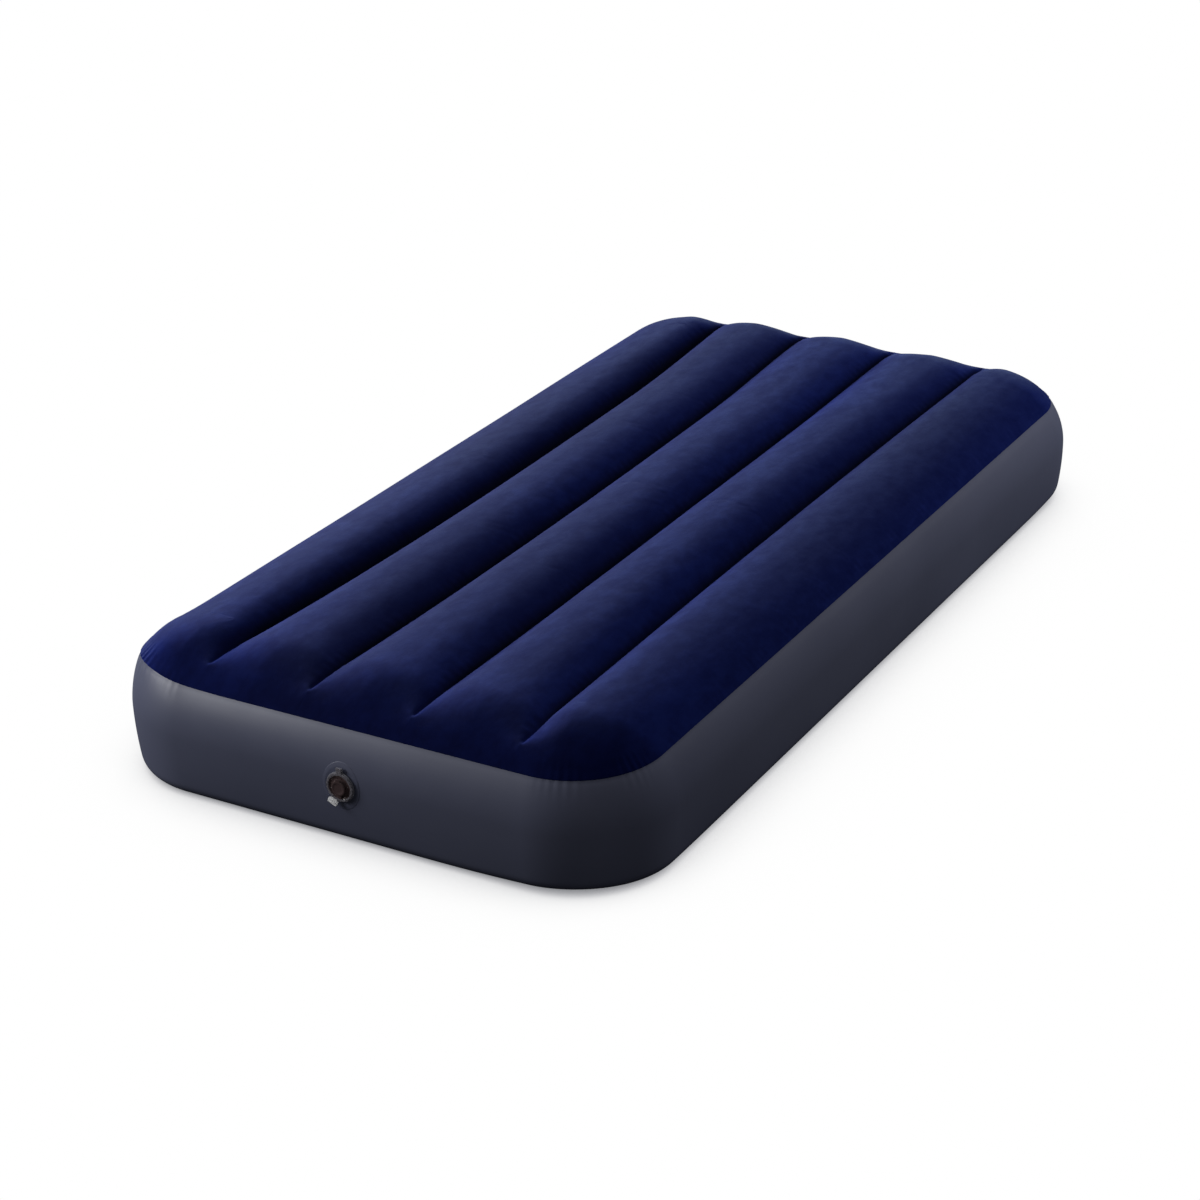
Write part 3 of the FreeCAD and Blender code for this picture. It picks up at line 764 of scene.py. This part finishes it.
def weld_z(crease, y):
    """Height of the underside of the sheet's crease at y."""
    fade = min(max((LENGTH / 2 - abs(y) - SEAM_IN) / 90.0, 0.0), 1.0)
    lift = float(crown_lift(crease, y)) * fade
    line = float(crease_z(abs(crease) > PITCH, y, crease < 0))
    return line - 2.0 - PINCH - GROOVE + lift


def build_web(number, crease):
    """One tension beam: a thin film, faintly rippled, with its ends curved in."""
    verts, faces = [], []
    for side in (-1, 1):
        for i in range(WEB_ROWS + 1):
            y = -WEB_HALF + 2 * WEB_HALF * i / WEB_ROWS
            mid_x, high = float(bend_x(crease, y)), weld_z(crease, y) - WEB_GAP
            to_end = (WEB_HALF - abs(y)) / 60.0
            for k in range(WEB_LEVELS + 1):
                v = k / WEB_LEVELS
                z = WEB_LOW_Z + (high - WEB_LOW_Z) * v + (1 - v) * float(heel(mid_x, y))
                ease = math.sin(math.pi * v)
                tuck = 24.0 * ease * (1 - min(1.0, to_end)) ** 2
                ripple = 0.9 * ease * math.sin(y * 0.045 + number) * math.sin(v * 6.0 + y * 0.004)
                verts.append((mid_x + side * 0.35 + ripple, y - math.copysign(tuck, y), z))
    column = WEB_LEVELS + 1
    layer = (WEB_ROWS + 1) * column
    for i in range(WEB_ROWS):
        for k in range(WEB_LEVELS):
            a = i * column + k
            b = a + column
            faces.append((a, a + 1, b + 1, b))
            faces.append((layer + a, layer + b, layer + b + 1, layer + a + 1))
    for i in range(WEB_ROWS):      # lower and upper edges
        a = i * column
        b = a + column
        faces.append((a, b, layer + b, layer + a))
        a, b = a + WEB_LEVELS, b + WEB_LEVELS
        faces.append((b, a, layer + a, layer + b))
    for i in (0, WEB_ROWS):        # foot and head edges
        for k in range(WEB_LEVELS):
            a = i * column + k
            b = a + 1
            if not i:
                a, b = b, a
            faces.append((a, b, layer + b, layer + a))
    return mesh_object(f"web_{number}", verts, faces)


def upper_tape_z(crease, y):
    high = weld_z(crease, y)
    return high - 1.0, high


def lower_tape_z(crease, y):
    lift = float(heel(crease, y))
    return LOWER_TAPE_BOTTOM + lift, LOWER_TAPE_TOP + lift


def build_tape(name, crease, tape_z):
    """Weld tape with a pressed rib pattern across it and a round pad at each end."""
    verts, faces = [], []
    reach = TAPE_HALF + PAD_R
    for i in range(TAPE_ROWS + 1):
        y = -TAPE_HALF - PAD_R + 2 * reach * i / TAPE_ROWS
        to_end = TAPE_HALF - abs(y)
        half = TAPE_HALF_WIDTH
        if to_end < PAD_R:
            pad = math.sqrt(max(PAD_R**2 - to_end**2, 0.01))
            half = pad if to_end < 0 else max(half, pad)
        mid_x = float(bend_x(crease, y))
        low, high = tape_z(crease, y)
        crest = high - 0.12 * (0.5 + 0.5 * math.sin(y * 2 * math.pi / 9.8))
        verts += [
            (mid_x - half, y, low), (mid_x - half, y, high - 0.25),
            (mid_x - half * 0.86, y, crest), (mid_x, y, crest), (mid_x + half * 0.86, y, crest),
            (mid_x + half, y, high - 0.25), (mid_x + half, y, low),
        ]
    sides = 7
    for i in range(TAPE_ROWS):
        a, b = i * sides, (i + 1) * sides
        for k in range(sides):
            k2 = (k + 1) % sides
            faces.append((a + k, a + k2, b + k2, b + k))
    faces.append(tuple(range(sides)))
    faces.append(tuple(TAPE_ROWS * sides + k for k in reversed(range(sides))))
    return mesh_object(name, verts, faces)


# ---------------------------------------------------------------- valve
# Parts are placed by `out`, the distance outwards from the foot end's widest line, and by
# x and height from the valve's axis. Profiles to be turned are lists of (radius, out).
STOPPER_RIM = 4.95                 # out of the stopper's rim


def out_y(out):
    return -LENGTH / 2 - out


def lathe(name, profile, steps, closed=True, wobble=None):
    """Turns a profile round the valve's axis."""
    verts, faces = [], []
    count = len(profile)
    for i in range(steps):
        angle = 2 * math.pi * i / steps
        for radius, out in profile:
            r = radius + (wobble(angle, radius, out) if wobble else 0)
            verts.append((r * math.sin(angle), out_y(out), VALVE_Z + r * math.cos(angle)))
    for i in range(steps):
        a, b = i * count, (i + 1) % steps * count
        for k in range(count if closed else count - 1):
            k2 = (k + 1) % count
            faces.append((a + k, b + k, b + k2, a + k2))
    return sharpen(face_outwards(mesh_object(name, verts, faces), merge=1e-6))


def slab(name, shape, out0, out1, bevel, segments=2):
    """A flat plate in the plane of the wall; shape is a loop of (x, height from the axis)."""
    work = bmesh.new()

    def ring(out):
        return [work.verts.new((x * MM, out_y(out) * MM, (VALVE_Z + up) * MM)) for x, up in shape]

    low, top = ring(out0), ring(out1)
    work.faces.new(low)
    work.faces.new(list(reversed(top)))
    for i in range(len(low)):
        j = (i + 1) % len(low)
        work.faces.new((low[i], top[i], top[j], low[j]))
    bmesh.ops.recalc_face_normals(work, faces=work.faces)
    rims = [e for e in work.edges if (e.verts[0] in low) == (e.verts[1] in low)]
    bmesh.ops.bevel(
        work, geom=rims, offset=bevel * MM, segments=segments, affect="EDGES", profile=0.6
    )
    mesh = bpy.data.meshes.new(name)
    work.to_mesh(mesh)
    work.free()
    return sharpen(link_object(name, mesh))


def block(name, half, up0, up1, out0, out1, bevel, segments=2):
    shape = [(-half, up0), (half, up0), (half, up1), (-half, up1)]
    return slab(name, shape, out0, out1, bevel, segments)


def arc_points(mid_x, mid_up, radius, start, end, count):
    angles = [math.radians(start + (end - start) * i / count) for i in range(count + 1)]
    return [(mid_x + radius * math.cos(a), mid_up + radius * math.sin(a)) for a in angles]


def round_top(x, up, radius, count):
    """Two rounded upper corners, right then left."""
    right = arc_points(x, up, radius, 0, 90, count)
    return right + arc_points(-x, up, radius, 90, 180, count)


def build_strap(name, up0, up1, rows, out0, out1, half):
    """A flat strap with many cuts along it."""
    verts, faces = [], []
    for z in np.linspace(VALVE_Z + up0, VALVE_Z + up1, rows):
        verts += [(-half, out_y(out0), z), (half, out_y(out0), z),
                  (half, out_y(out1), z), (-half, out_y(out1), z)]
    for a in range(0, 4 * (rows - 1), 4):
        for k in range(4):
            k2 = (k + 1) % 4
            faces.append((a + k, a + k2, a + 4 + k2, a + 4 + k))
    faces.append((0, 1, 2, 3))
    end = 4 * (rows - 1)
    faces.append((end + 3, end + 2, end + 1, end))
    return sharpen(face_outwards(mesh_object(name, verts, faces)))


def build_weld_disc():
    """Disc welded to the wall; it follows the wall's curve."""
    # radius, height off the wall
    profile = [
        (23.9, 0.25), (25.0, 0.35), (26.6, 0.45), (28.0, 0.50), (29.0, 0.80), (30.2, 0.80),
        (31.6, 0.50), (32.8, 0.42), (33.5, 0.38), (33.9, 0.25), (34.0, -0.20), (33.6, -0.8),
    ]
    steps = 96
    verts, faces = [], []
    for i in range(steps):
        angle = 2 * math.pi * i / steps
        for radius, lift in profile:
            tall = 1 + 0.19 * min(max((radius - 26.6) / 5.0, 0.0), 1.0)
            z = VALVE_Z + radius * tall * math.cos(angle)
            x, y, z = foot_wall_point(radius * math.sin(angle), z)
            verts.append((x, y - lift, z))
    count = len(profile)
    for i in range(steps):
        a, b = i * count, (i + 1) % steps * count
        for k in range(count - 1):
            faces.append((a + k, a + k + 1, b + k + 1, b + k))
    return mesh_object("valve_weld_disc", verts, faces)


def build_collar():
    """Soft collar: tube, rolled outer lip, and the lug that holds the stopper's strap."""
    tube = lathe(
        "collar_tube",
        [
            (20.05, -12.0), (20.05, 2.2), (20.25, 2.7), (20.9, 3.0), (24.6, 3.0), (25.3, 2.75),
            (25.6, 2.2), (25.55, 1.55), (25.1, 1.25), (23.7, 1.15), (23.35, 0.7),
            (23.35, -11.6), (23.0, -12.0),
        ],
        steps=96,
    )
    shape = [(-6.4, 23.5), (6.4, 23.5)] + round_top(4.4, 31.0, 2.0, 6)
    return join("valve_collar_soft", tube, slab("collar_lug", shape, 1.2, 2.99, 0.4))


def build_stopper():
    """Plug, flange with a dished face, and port neck with a rounded mouth."""
    body = lathe(
        "stopper_body",
        [
            (8.0, -10.0), (8.0, 6.6), (8.25, 7.05), (8.8, 7.2), (9.5, 7.2), (10.0, 7.05),
            (10.2, 6.6), (10.2, 5.6), (10.5, 5.1), (11.2, 4.85), (12.4, 4.8), (13.0, 4.55),
            (13.4, 4.15), (14.0, 3.95), (17.2, 3.95), (17.9, 4.15), (18.3, 4.6), (18.7, 4.9),
            (19.3, 4.95), (20.5, 4.95), (21.0, 4.75), (21.2, 4.3), (21.2, 3.7), (21.0, 3.3),
            (20.6, 3.17), (19.5, 3.15), (19.35, 2.4), (19.5, 1.9), (19.3, 1.3), (18.95, -2.4),
            (18.7, -3.5), (18.3, -3.85), (17.2, -3.85), (16.75, -3.4), (16.7, 1.0),
            (16.2, 1.5), (10.9, 1.6), (10.3, 1.2), (10.2, 0.6), (10.2, -9.6), (9.8, -10.0),
        ],
        steps=112,
    )
    shape = [(-5.5, 9.0), (5.5, 9.0), (5.5, 14.4)] + round_top(4.5, 14.4, 1.0, 4)
    flap_lug = slab("flap_lug", shape, -9.95, -7.9, 0.25)
    # radial finger ribs on the dished face
    inner, outer, half = 14.4, 17.6, 0.42
    ribs = []
    for k in range(12):
        angle = math.radians(15 + 30 * k)
        sin, cos = math.sin(angle), math.cos(angle)
        shape = [
            (r * sin + side * half * cos, r * cos - side * half * sin)
            for r, side in ((inner, -1), (outer, -1), (outer, 1), (inner, 1))
        ]
        ribs.append(slab(f"rib{k}", shape, 3.8, 4.35, bevel=0.12, segments=1))
    return join("stopper_dark", body, flap_lug, *ribs)


def build_strap_ring():
    """Clear ring round the stopper, with a neck to the strap above and a pull tab below."""
    ring = lathe(
        "ring_body",
        [
            (21.4, 3.25), (24.0, 3.2), (24.4, 3.6), (24.4, 4.7), (24.15, 5.3), (23.5, 5.55),
            (21.0, 5.55), (20.3, 5.4), (20.05, 5.1), (20.1, 4.98), (21.4, 4.97),
        ],
        steps=112,
    )
    shape = [(-4.8, 23.0), (4.8, 23.0), (4.4, 27.3), (-4.4, 27.3)]
    neck = slab("ring_neck", shape, 3.2, 4.9, 0.3)
    # pull tab: a short stem, then a wider grip that leans outwards, all turned to the left
    stem = block("ring_stem", 5.5, -22.4, -24.8, 3.35, 5.15, 0.35)
    up = 1.8                       # the tab's heights are shifted up by this
    hinge = up - 26.0
    shape = (
        [(-9.0, up - 30.4)]
        + arc_points(-6.0, up - 33.0, 3.0, 180, 270, 6)
        + arc_points(6.0, up - 33.0, 3.0, 270, 360, 6)
        + arc_points(6.6, up - 29.4, 2.0, 0, 90, 5)
        + [(5.5, up - 27.3), (5.5, hinge), (-5.5, hinge), (-5.5, up - 27.3)]
        + arc_points(-6.6, up - 29.4, 2.0, 90, 180, 5)[:-1]
    )
    tab = slab("ring_tab", shape, 3.35, 5.15, bevel=0.5, segments=3)
    grips = []
    for k in range(3):
        high = up - 29.6 - 2.0 * k
        grips.append(block(f"grip{k}", 5.6, high, high - 0.8, 5.0, 5.6, 0.2))

    def turn_about(point, degrees, axis):
        shift = Matrix.Translation(point)
        back = Matrix.Translation(-Vector(point))
        return shift @ Matrix.Rotation(math.radians(degrees), 4, axis) @ back

    lean_out = turn_about((0, out_y(4.25) * MM, (VALVE_Z + hinge) * MM), -24.0, "X")
    turn_left = turn_about((0, 0, VALVE_Z * MM), 26.0, "Y")
    for obj in [tab] + grips:
        obj.data.transform(lean_out)
    for obj in [stem, tab] + grips:
        obj.data.transform(turn_left)
        frost = 0.7 if obj is stem else 1.0
        point_values(obj, "frost", [frost] * len(obj.data.vertices))
    return join("stopper_strap_ring", ring, neck, tab, *grips, stem)


def build_cap():
    """Small cap: domed top, knurled skirt, thumb lip."""
    low, under = STOPPER_RIM + 0.25, 7.35
    top = under + 2.0

    def knurl(angle, radius, out):
        on_skirt = radius > 12.4 and out < top - 0.6
        return 0.10 * math.cos(48 * angle) - 0.10 if on_skirt else 0.0

    body = lathe(
        "cap_body",
        [
            (0.0, top - 0.55), (5.0, top - 0.5), (8.4, top - 0.42), (8.9, top - 0.2),
            (9.4, top - 0.02), (11.6, top), (12.25, top - 0.25), (12.55, top - 0.9),
            (12.6, low + 0.35), (12.3, low), (10.7, low), (10.45, low + 0.3),
            (10.45, under - 0.2), (10.2, under), (0.0, under),
        ],
        steps=96, closed=False, wobble=knurl,
    )
    shape = [(-3.9, 11.0), (3.9, 11.0), (3.7, 14.6)] + round_top(2.2, 14.6, 1.5, 5)
    lip = slab("cap_lip", shape + [(-3.7, 14.6)], 7.8, top - 0.1, 0.3)
    return join("port_cap", body, lip)


def build_flap():
    """One-way flap at the inner end of the port."""
    disc = lathe(
        "flap_disc",
        [
            (0.0, -10.12), (9.4, -10.12), (9.85, -10.25), (9.85, -10.5),
            (9.4, -10.68), (6.0, -10.68), (5.4, -10.85), (0.0, -10.85),
        ],
        steps=64, closed=False,
    )
    neck = block("flap_neck", 4.9, 4.0, 10.6, -10.65, -10.15, bevel=0.1, segments=1)
    return join("port_flap", disc, neck)


# ---------------------------------------------------------------- build the pieces
top_sheet = build_top()
settle(top_sheet)
wall = build_wall()
base = build_base()
disc = build_weld_disc()
collar = build_collar()
stopper = build_stopper()
strap_ring = build_strap_ring()
strap = build_strap("stopper_strap_web", 24.8, 32.4, rows=22, out0=3.3, out1=4.5, half=4.2)
cap = build_cap()
cap_strap = build_strap("port_cap_strap", -19.0, -11.6, rows=20,
                        out0=STOPPER_RIM + 0.05, out1=STOPPER_RIM + 1.2, half=3.3)
flap = build_flap()
flap_root = block("port_flap_root", 4.9, 11.0, 15.3, -10.7, -10.0, bevel=0.1, segments=1)
clamp_bar = block("port_flap_clamp", 5.5, 11.8, 15.3, -12.05, -10.72, bevel=0.3)
webs = [build_web(n, crease) for n, crease in enumerate(CREASES, 1)]
uppers = [build_tape(f"upper_tape_{n}", c, upper_tape_z) for n, c in enumerate(CREASES, 1)]
lowers = [build_tape(f"lower_tape_{n}", c, lower_tape_z) for n, c in enumerate(CREASES, 1)]
join_strip = build_join_strip()

# ---------------------------------------------------------------- shader helpers


def feed(node, inputs):
    """Sets a node's inputs: a socket is linked, anything else is the input's value."""
    for key, value in inputs.items():
        if isinstance(value, bpy.types.NodeSocket):
            node.id_data.links.new(value, node.inputs[key])
        else:
            node.inputs[key].default_value = value


def add_node(tree, kind, inputs=None, **settings):
    node = tree.nodes.new("ShaderNode" + kind)
    for key, value in settings.items():
        setattr(node, key, value)
    feed(node, inputs or {})
    return node


def bare_material(name):
    material = bpy.data.materials.new(name)
    material.use_nodes = True
    tree = material.node_tree
    tree.nodes.clear()
    return material, tree, add_node(tree, "OutputMaterial")


def principled(name):
    """A material with its tree, its Principled node and object coordinates."""
    material, tree, output = bare_material(name)
    surface = add_node(tree, "BsdfPrincipled")
    feed(output, {0: surface.outputs[0]})
    return material, tree, surface, add_node(tree, "TexCoord").outputs["Object"]


def noise(tree, coords, scale, detail=2.0, rough=0.5, stretch=None):
    node = add_node(
        tree, "TexNoise", {"Scale": scale, "Detail": detail, "Roughness": rough}
    )
    if stretch:
        coords = add_node(tree, "Mapping", {"Scale": stretch, "Vector": coords}).outputs[0]
    feed(node, {"Vector": coords})
    return node.outputs[0]


def ramp(tree, source, stops):
    """Colour ramp; a stop is a position and a colour, or a single grey level."""
    node = add_node(tree, "ValToRGB")
    elements = node.color_ramp.elements
    while len(elements) > 1:
        elements.remove(elements[-1])
    for n, (position, color) in enumerate(stops):
        element = elements.new(position) if n else elements[0]
        element.position = position
        element.color = (*(color if isinstance(color, tuple) else (color,) * 3), 1)
    feed(node, {0: source})
    return node.outputs[0]


def bump(tree, height, strength, distance, over=None):
    inputs = {"Strength": strength, "Distance": distance, "Height": height}
    if over:
        inputs["Normal"] = over
    return add_node(tree, "Bump", inputs).outputs[0]


def map_range(tree, value, low, high, **inputs):
    """Maps value to low..high; from_min and from_max set the range it is taken from."""
    names = {"from_min": "From Min", "from_max": "From Max"}
    ends = {names[key]: number for key, number in inputs.items()}
    ends.update({"To Min": low, "To Max": high, "Value": value})
    return add_node(tree, "MapRange", ends).outputs[0]


def multiply(tree, first, second):
    return add_node(tree, "Math", {0: first, 1: second}, operation="MULTIPLY").outputs[0]


def attribute(tree, name):
    return add_node(tree, "Attribute", attribute_name=name).outputs["Fac"]


def mix_color(tree, factor, first, second):
    inputs = {"Factor": factor, 6: first, 7: second}
    return add_node(tree, "Mix", inputs, data_type="RGBA").outputs[2]


def srgb(*levels):
    """Linear colour from 0-255 sRGB levels."""
    shares = [level / 255 for level in levels]
    return tuple(s / 12.92 if s <= 0.04045 else ((s + 0.055) / 1.055) ** 2.4 for s in shares)


# ---------------------------------------------------------------- materials


def flock():
    material, tree, surface, coords = principled("navy_flock")
    patches = noise(tree, coords, scale=3.2, stretch=(1.0, 0.35, 1.0))
    nap = noise(tree, coords, scale=46.0, detail=4.0, rough=0.6, stretch=(1.0, 0.55, 1.0))
    fibres = noise(tree, coords, scale=1400.0, rough=0.6)
    tone = add_node(tree, "Math", {0: nap, 1: 0.60, 2: patches}, operation="MULTIPLY_ADD")
    blue = ramp(tree, tone.outputs[0], [
        (0.52, srgb(6, 17, 78)), (0.80, srgb(8, 22, 91)), (1.05, srgb(12, 29, 107)),
    ])
    # painted shade along each weld: the crease attribute darkens colour and sheen
    painted_crease_shade = map_range(tree, attribute(tree, "crease"), low=1.0, high=0.22)
    # painted sheen: the base colour is darker seen face-on and brighter towards grazing views
    facing = add_node(tree, "LayerWeight", {"Blend": 0.5}).outputs["Facing"]
    painted_sheen_tone = ramp(tree, facing, [
        (0.10, 0.30), (0.30, 0.42), (0.45, 0.72), (0.60, 1.0), (1.0, 1.12),
    ])
    painted_light_scale = multiply(tree, painted_sheen_tone, painted_crease_shade)
    color = add_node(tree, "VectorMath", {0: blue, "Scale": painted_light_scale}, operation="SCALE")
    # the sheen weight also takes the painted crease shade
    sheen = multiply(tree, painted_crease_shade, 0.26)
    # the pile lies this way and that
    mottle = map_range(tree, nap, low=0.68, high=1.20, from_min=0.34, from_max=0.66)
    fine_bump = bump(tree, fibres, strength=0.30, distance=0.0004)
    feed(surface, {
        "Base Color": color.outputs[0],
        "Sheen Weight": multiply(tree, sheen, mottle),
        "Sheen Roughness": 0.40,
        "Sheen Tint": (0.255, 0.345, 0.335, 1),
        "Roughness": 0.93,
        "Specular IOR Level": 0.06,
        "Normal": bump(tree, nap, strength=0.36, distance=0.0021, over=fine_bump),
    })
    return material


def vinyl(name, dark, light, rough, specular, grain):
    """Plain plastic; dark and light are its sRGB ends, grain the scale of its fine noise."""
    material, tree, surface, coords = principled(name)
    patches = noise(tree, coords, scale=2.4)
    uneven = noise(tree, coords, scale=28.0, detail=3.0)
    fine = noise(tree, coords, scale=grain)
    color = ramp(tree, patches, [(0.35, srgb(*dark)), (0.68, srgb(*light))])
    roughness = map_range(tree, uneven, low=rough - 0.05, high=rough + 0.07)
    fine_bump = bump(tree, fine, strength=0.10, distance=0.0003)
    feed(surface, {
        "Base Color": color,
        "Roughness": roughness,
        "Specular IOR Level": specular,
        "Normal": bump(tree, uneven, strength=0.05, distance=0.0015, over=fine_bump),
    })
    return material


def clear_plastic():
    """Smoky clear PVC; the moulded grip is frosted and whiter."""
    material, tree, surface, coords = principled("valve_clear_pvc")
    grain = noise(tree, coords, scale=320.0)
    smoky = ramp(tree, grain, [(0.3, srgb(138, 135, 144)), (0.7, srgb(162, 159, 168))])
    pale = ramp(tree, grain, [(0.3, srgb(246, 247, 249)), (0.7, srgb(253, 253, 254))])
    frost = attribute(tree, "frost")
    feed(surface, {
        "Base Color": mix_color(tree, frost, smoky, pale),
        "Transmission Weight": map_range(tree, frost, low=0.45, high=0.05),
        "Roughness": 0.24,
        "IOR": 1.5,
        "Normal": bump(tree, grain, strength=0.08, distance=0.0003),
    })
    return material


FLOCK = flock()
WALL = vinyl("grey_wall_vinyl", (85, 89, 110), (95, 99, 121),
             rough=0.44, specular=0.55, grain=900.0)
BASE = vinyl("grey_base_vinyl", (84, 88, 108), (96, 100, 120),
             rough=0.5, specular=0.4, grain=500.0)
BEAM = vinyl("beam_film", (176, 178, 184), (198, 200, 204),
             rough=0.4, specular=0.4, grain=600.0)
TAPE = vinyl("weld_tape_film", (150, 152, 158), (172, 174, 178),
             rough=0.55, specular=0.3, grain=600.0)
COLLAR = vinyl("valve_soft_grey_pvc", (112, 113, 122), (130, 131, 140),
               rough=0.36, specular=0.5, grain=1100.0)
DARK = vinyl("valve_dark_plastic", (72, 58, 60), (88, 72, 72),
             rough=0.30, specular=0.6, grain=1400.0)
CLEAR = clear_plastic()
RUBBER = vinyl("flap_rubber", (44, 44, 47), (58, 58, 61),
               rough=0.62, specular=0.3, grain=1400.0)

for material, slot, pieces in (
    (FLOCK, "flocked_top", [top_sheet]),
    (WALL, "wall_vinyl", [wall]),
    (BASE, "base_vinyl", [base]),
    (WALL, "wall_vinyl", [join_strip]),
    (BEAM, "beam_vinyl", webs),
    (TAPE, "weld_tape", uppers + lowers),
    (WALL, "wall_vinyl", [disc]),
    (COLLAR, "valve_soft_grey", [collar]),
    (DARK, "valve_dark", [stopper]),
    (CLEAR, "valve_clear", [strap_ring, strap]),
    (DARK, "valve_dark", [cap, cap_strap]),
    (RUBBER, "flap_rubber", [flap, flap_root]),
    (DARK, "valve_dark", [clamp_bar]),
):
    for piece in pieces:
        piece.data.materials.clear()
        piece.data.materials.append(material)

# ---------------------------------------------------------------- ride on the frame


def mount(obj, part, stands_for, squash=None):
    """Rides on a frame part and hides the part it stands for; if squash is given, the object takes
    its own copy of its mesh, and squash's heights are not used.
    """
    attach(obj, part)
    if squash:
        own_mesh(obj)
    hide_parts(stands_for)


def bend_between(obj, stands_for):
    """Bakes the object's placement into its mesh and hides the frame part it stands for."""
    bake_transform(obj)
    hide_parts(stands_for)


web_top = weld_z(CREASES[0], MID_Y) - WEB_GAP      # low point of a left outer web's upper edge
mount(top_sheet, "top", "top_sheet")
mount(wall, "base", "side_wall", squash=(BASE_Z, SEAM_Z))
mount(join_strip, "base", "wall_join_strip", squash=(BASE_Z, SEAM_Z))
mount(base, "base", "bottom_sheet")
for n, web in enumerate(webs, 1):
    mount(web, "base", f"beam_{n}_web", squash=(LOWER_TAPE_TOP, web_top))
for n, tape in enumerate(uppers, 1):
    mount(tape, "top", f"beam_{n}_upper_tape")
for n, tape in enumerate(lowers, 1):
    mount(tape, "base", f"beam_{n}_lower_tape")
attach(disc, "valve")
mount(collar, "valve", "valve_collar")
mount(stopper, "stopper", "stopper")
mount(strap_ring, "stopper", "stopper_ring")
bend_between(strap,
             stands_for="stopper_strap")
mount(cap, "cap", "valve_cap")
bend_between(cap_strap,
             stands_for="cap_strap")
mount(flap, "flap", "one_way_flap")
mount(flap_root, "stopper", "flap_root")
mount(clamp_bar, "stopper", "flap_clamp_bar")

# ---------------------------------------------------------------- floor, light, camera (metres)
FLOOR_HALF = 30
FLOOR_BOUNCE = 0.03        # how much light the floor gives back to the bed


def build_floor():
    """The camera sees it white with a soft contact shadow; to the bed it is a dim floor."""
    corners = [(x * FLOOR_HALF, y * FLOOR_HALF, 0) for x, y in ((-1, -1), (1, -1), (1, 1), (-1, 1))]
    obj = mesh_object("floor", corners, [(0, 1, 2, 3)], smooth_faces=False, scale=1.0)
    material, tree, output = bare_material("floor_white")
    bounce = (FLOOR_BOUNCE, FLOOR_BOUNCE, FLOOR_BOUNCE * 1.06, 1)
    diffuse = add_node(tree, "BsdfDiffuse", {0: bounce})
    glow = add_node(tree, "Emission")
    # painted contact shadow: ambient occlusion darkens the white that the camera sees
    contact = add_node(tree, "AmbientOcclusion", {"Distance": 0.28}, samples=12)
    shadow = ramp(tree, contact.outputs["AO"], [
        (0.0, (0.16, 0.165, 0.18)), (0.30, (0.52, 0.52, 0.54)), (0.55, (0.87, 0.87, 0.875)),
        (0.72, 0.985), (0.86, 1.0),
    ])
    feed(glow, {0: shadow})
    is_camera = add_node(tree, "LightPath").outputs["Is Camera Ray"]
    mix = add_node(tree, "MixShader", {0: is_camera, 1: diffuse.outputs[0], 2: glow.outputs[0]})
    feed(output, {0: mix.outputs[0]})
    obj.data.materials.append(material)


def area_light(name, place, target, size, power, glossy=True):
    light = bpy.data.lights.new(name, "AREA")
    light.energy = power
    light.shape = "SQUARE"
    light.size = size
    obj = bpy.data.objects.new(name, light)
    obj.location = place
    obj.rotation_euler = (Vector(target) - Vector(place)).to_track_quat("-Z", "Y").to_euler()
    obj.visible_glossy = glossy
    bpy.context.scene.collection.objects.link(obj)


def build_world():
    """Soft overhead light, leaning to the left of the head end; white to the camera."""
    world = bpy.data.worlds.new("studio")
    bpy.context.scene.world = world
    world.use_nodes = True
    tree = world.node_tree
    direction = add_node(tree, "TexCoord").outputs["Generated"]
    lean = add_node(
        tree, "VectorMath", {0: direction, 1: (-0.38, 0.42, 0.824)}, operation="DOT_PRODUCT"
    )
    sky = ramp(tree, lean.outputs["Value"], [
        (0.0, (0.022, 0.022, 0.023)), (0.25, (0.09, 0.09, 0.094)), (0.5, (0.18, 0.18, 0.185)),
        (0.75, (0.42, 0.42, 0.43)), (1.0, (0.78, 0.78, 0.79)),
    ])
    is_camera = add_node(tree, "LightPath").outputs["Is Camera Ray"]
    color = mix_color(tree, is_camera, sky, (1, 1, 1, 1))
    feed(tree.nodes["Background"], {0: color, 1: 1.0})


def build_camera(target, distance, yaw, tilt, roll, lens):
    """Camera that looks at target from the foot end's right; angles in degrees."""
    yaw, tilt, roll = math.radians(yaw), math.radians(tilt), math.radians(roll)
    back = Vector((
        math.sin(yaw) * math.cos(tilt), -math.cos(yaw) * math.cos(tilt), math.sin(tilt)
    ))
    level = Vector((0, 0, 1)).cross(back).normalized()
    upright = back.cross(level)
    right = math.cos(roll) * level + math.sin(roll) * upright
    up = -math.sin(roll) * level + math.cos(roll) * upright
    place = Vector(target) + back * distance
    data = bpy.data.cameras.new("camera")
    data.sensor_width = 36.0
    data.lens = lens
    data.clip_end = 100.0
    camera = bpy.data.objects.new("camera", data)
    rows = [(right[i], up[i], back[i], place[i]) for i in range(3)]
    camera.matrix_world = Matrix((*rows, (0, 0, 0, 1)))
    bpy.context.scene.collection.objects.link(camera)
    bpy.context.scene.camera = camera


build_floor()
area_light("key", (-3.5, 2.3, 1.65), target=(0, 0, 0.2), size=2.1, power=183)
area_light("front_fill", (-1.35, -1.62, 0.86), target=(-0.35, -0.95, 0.15), size=0.72, power=14.5)
area_light("corner_fill", (1.15, -1.75, 0.35), target=(0.50, -0.90, 0.10), size=0.5, power=0.95,
           glossy=False)
area_light("far_fill", (1.9, 1.9, 0.8), target=(0.5, 0.8, 0.12), size=1.0, power=22, glossy=False)
build_world()
build_camera(target=(0.0388, -0.2195, 0.12), distance=4.7272,
             yaw=30.31, tilt=25.21, roll=-1.49, lens=81.615)
bpy.context.scene.view_settings.view_transform = "Standard"
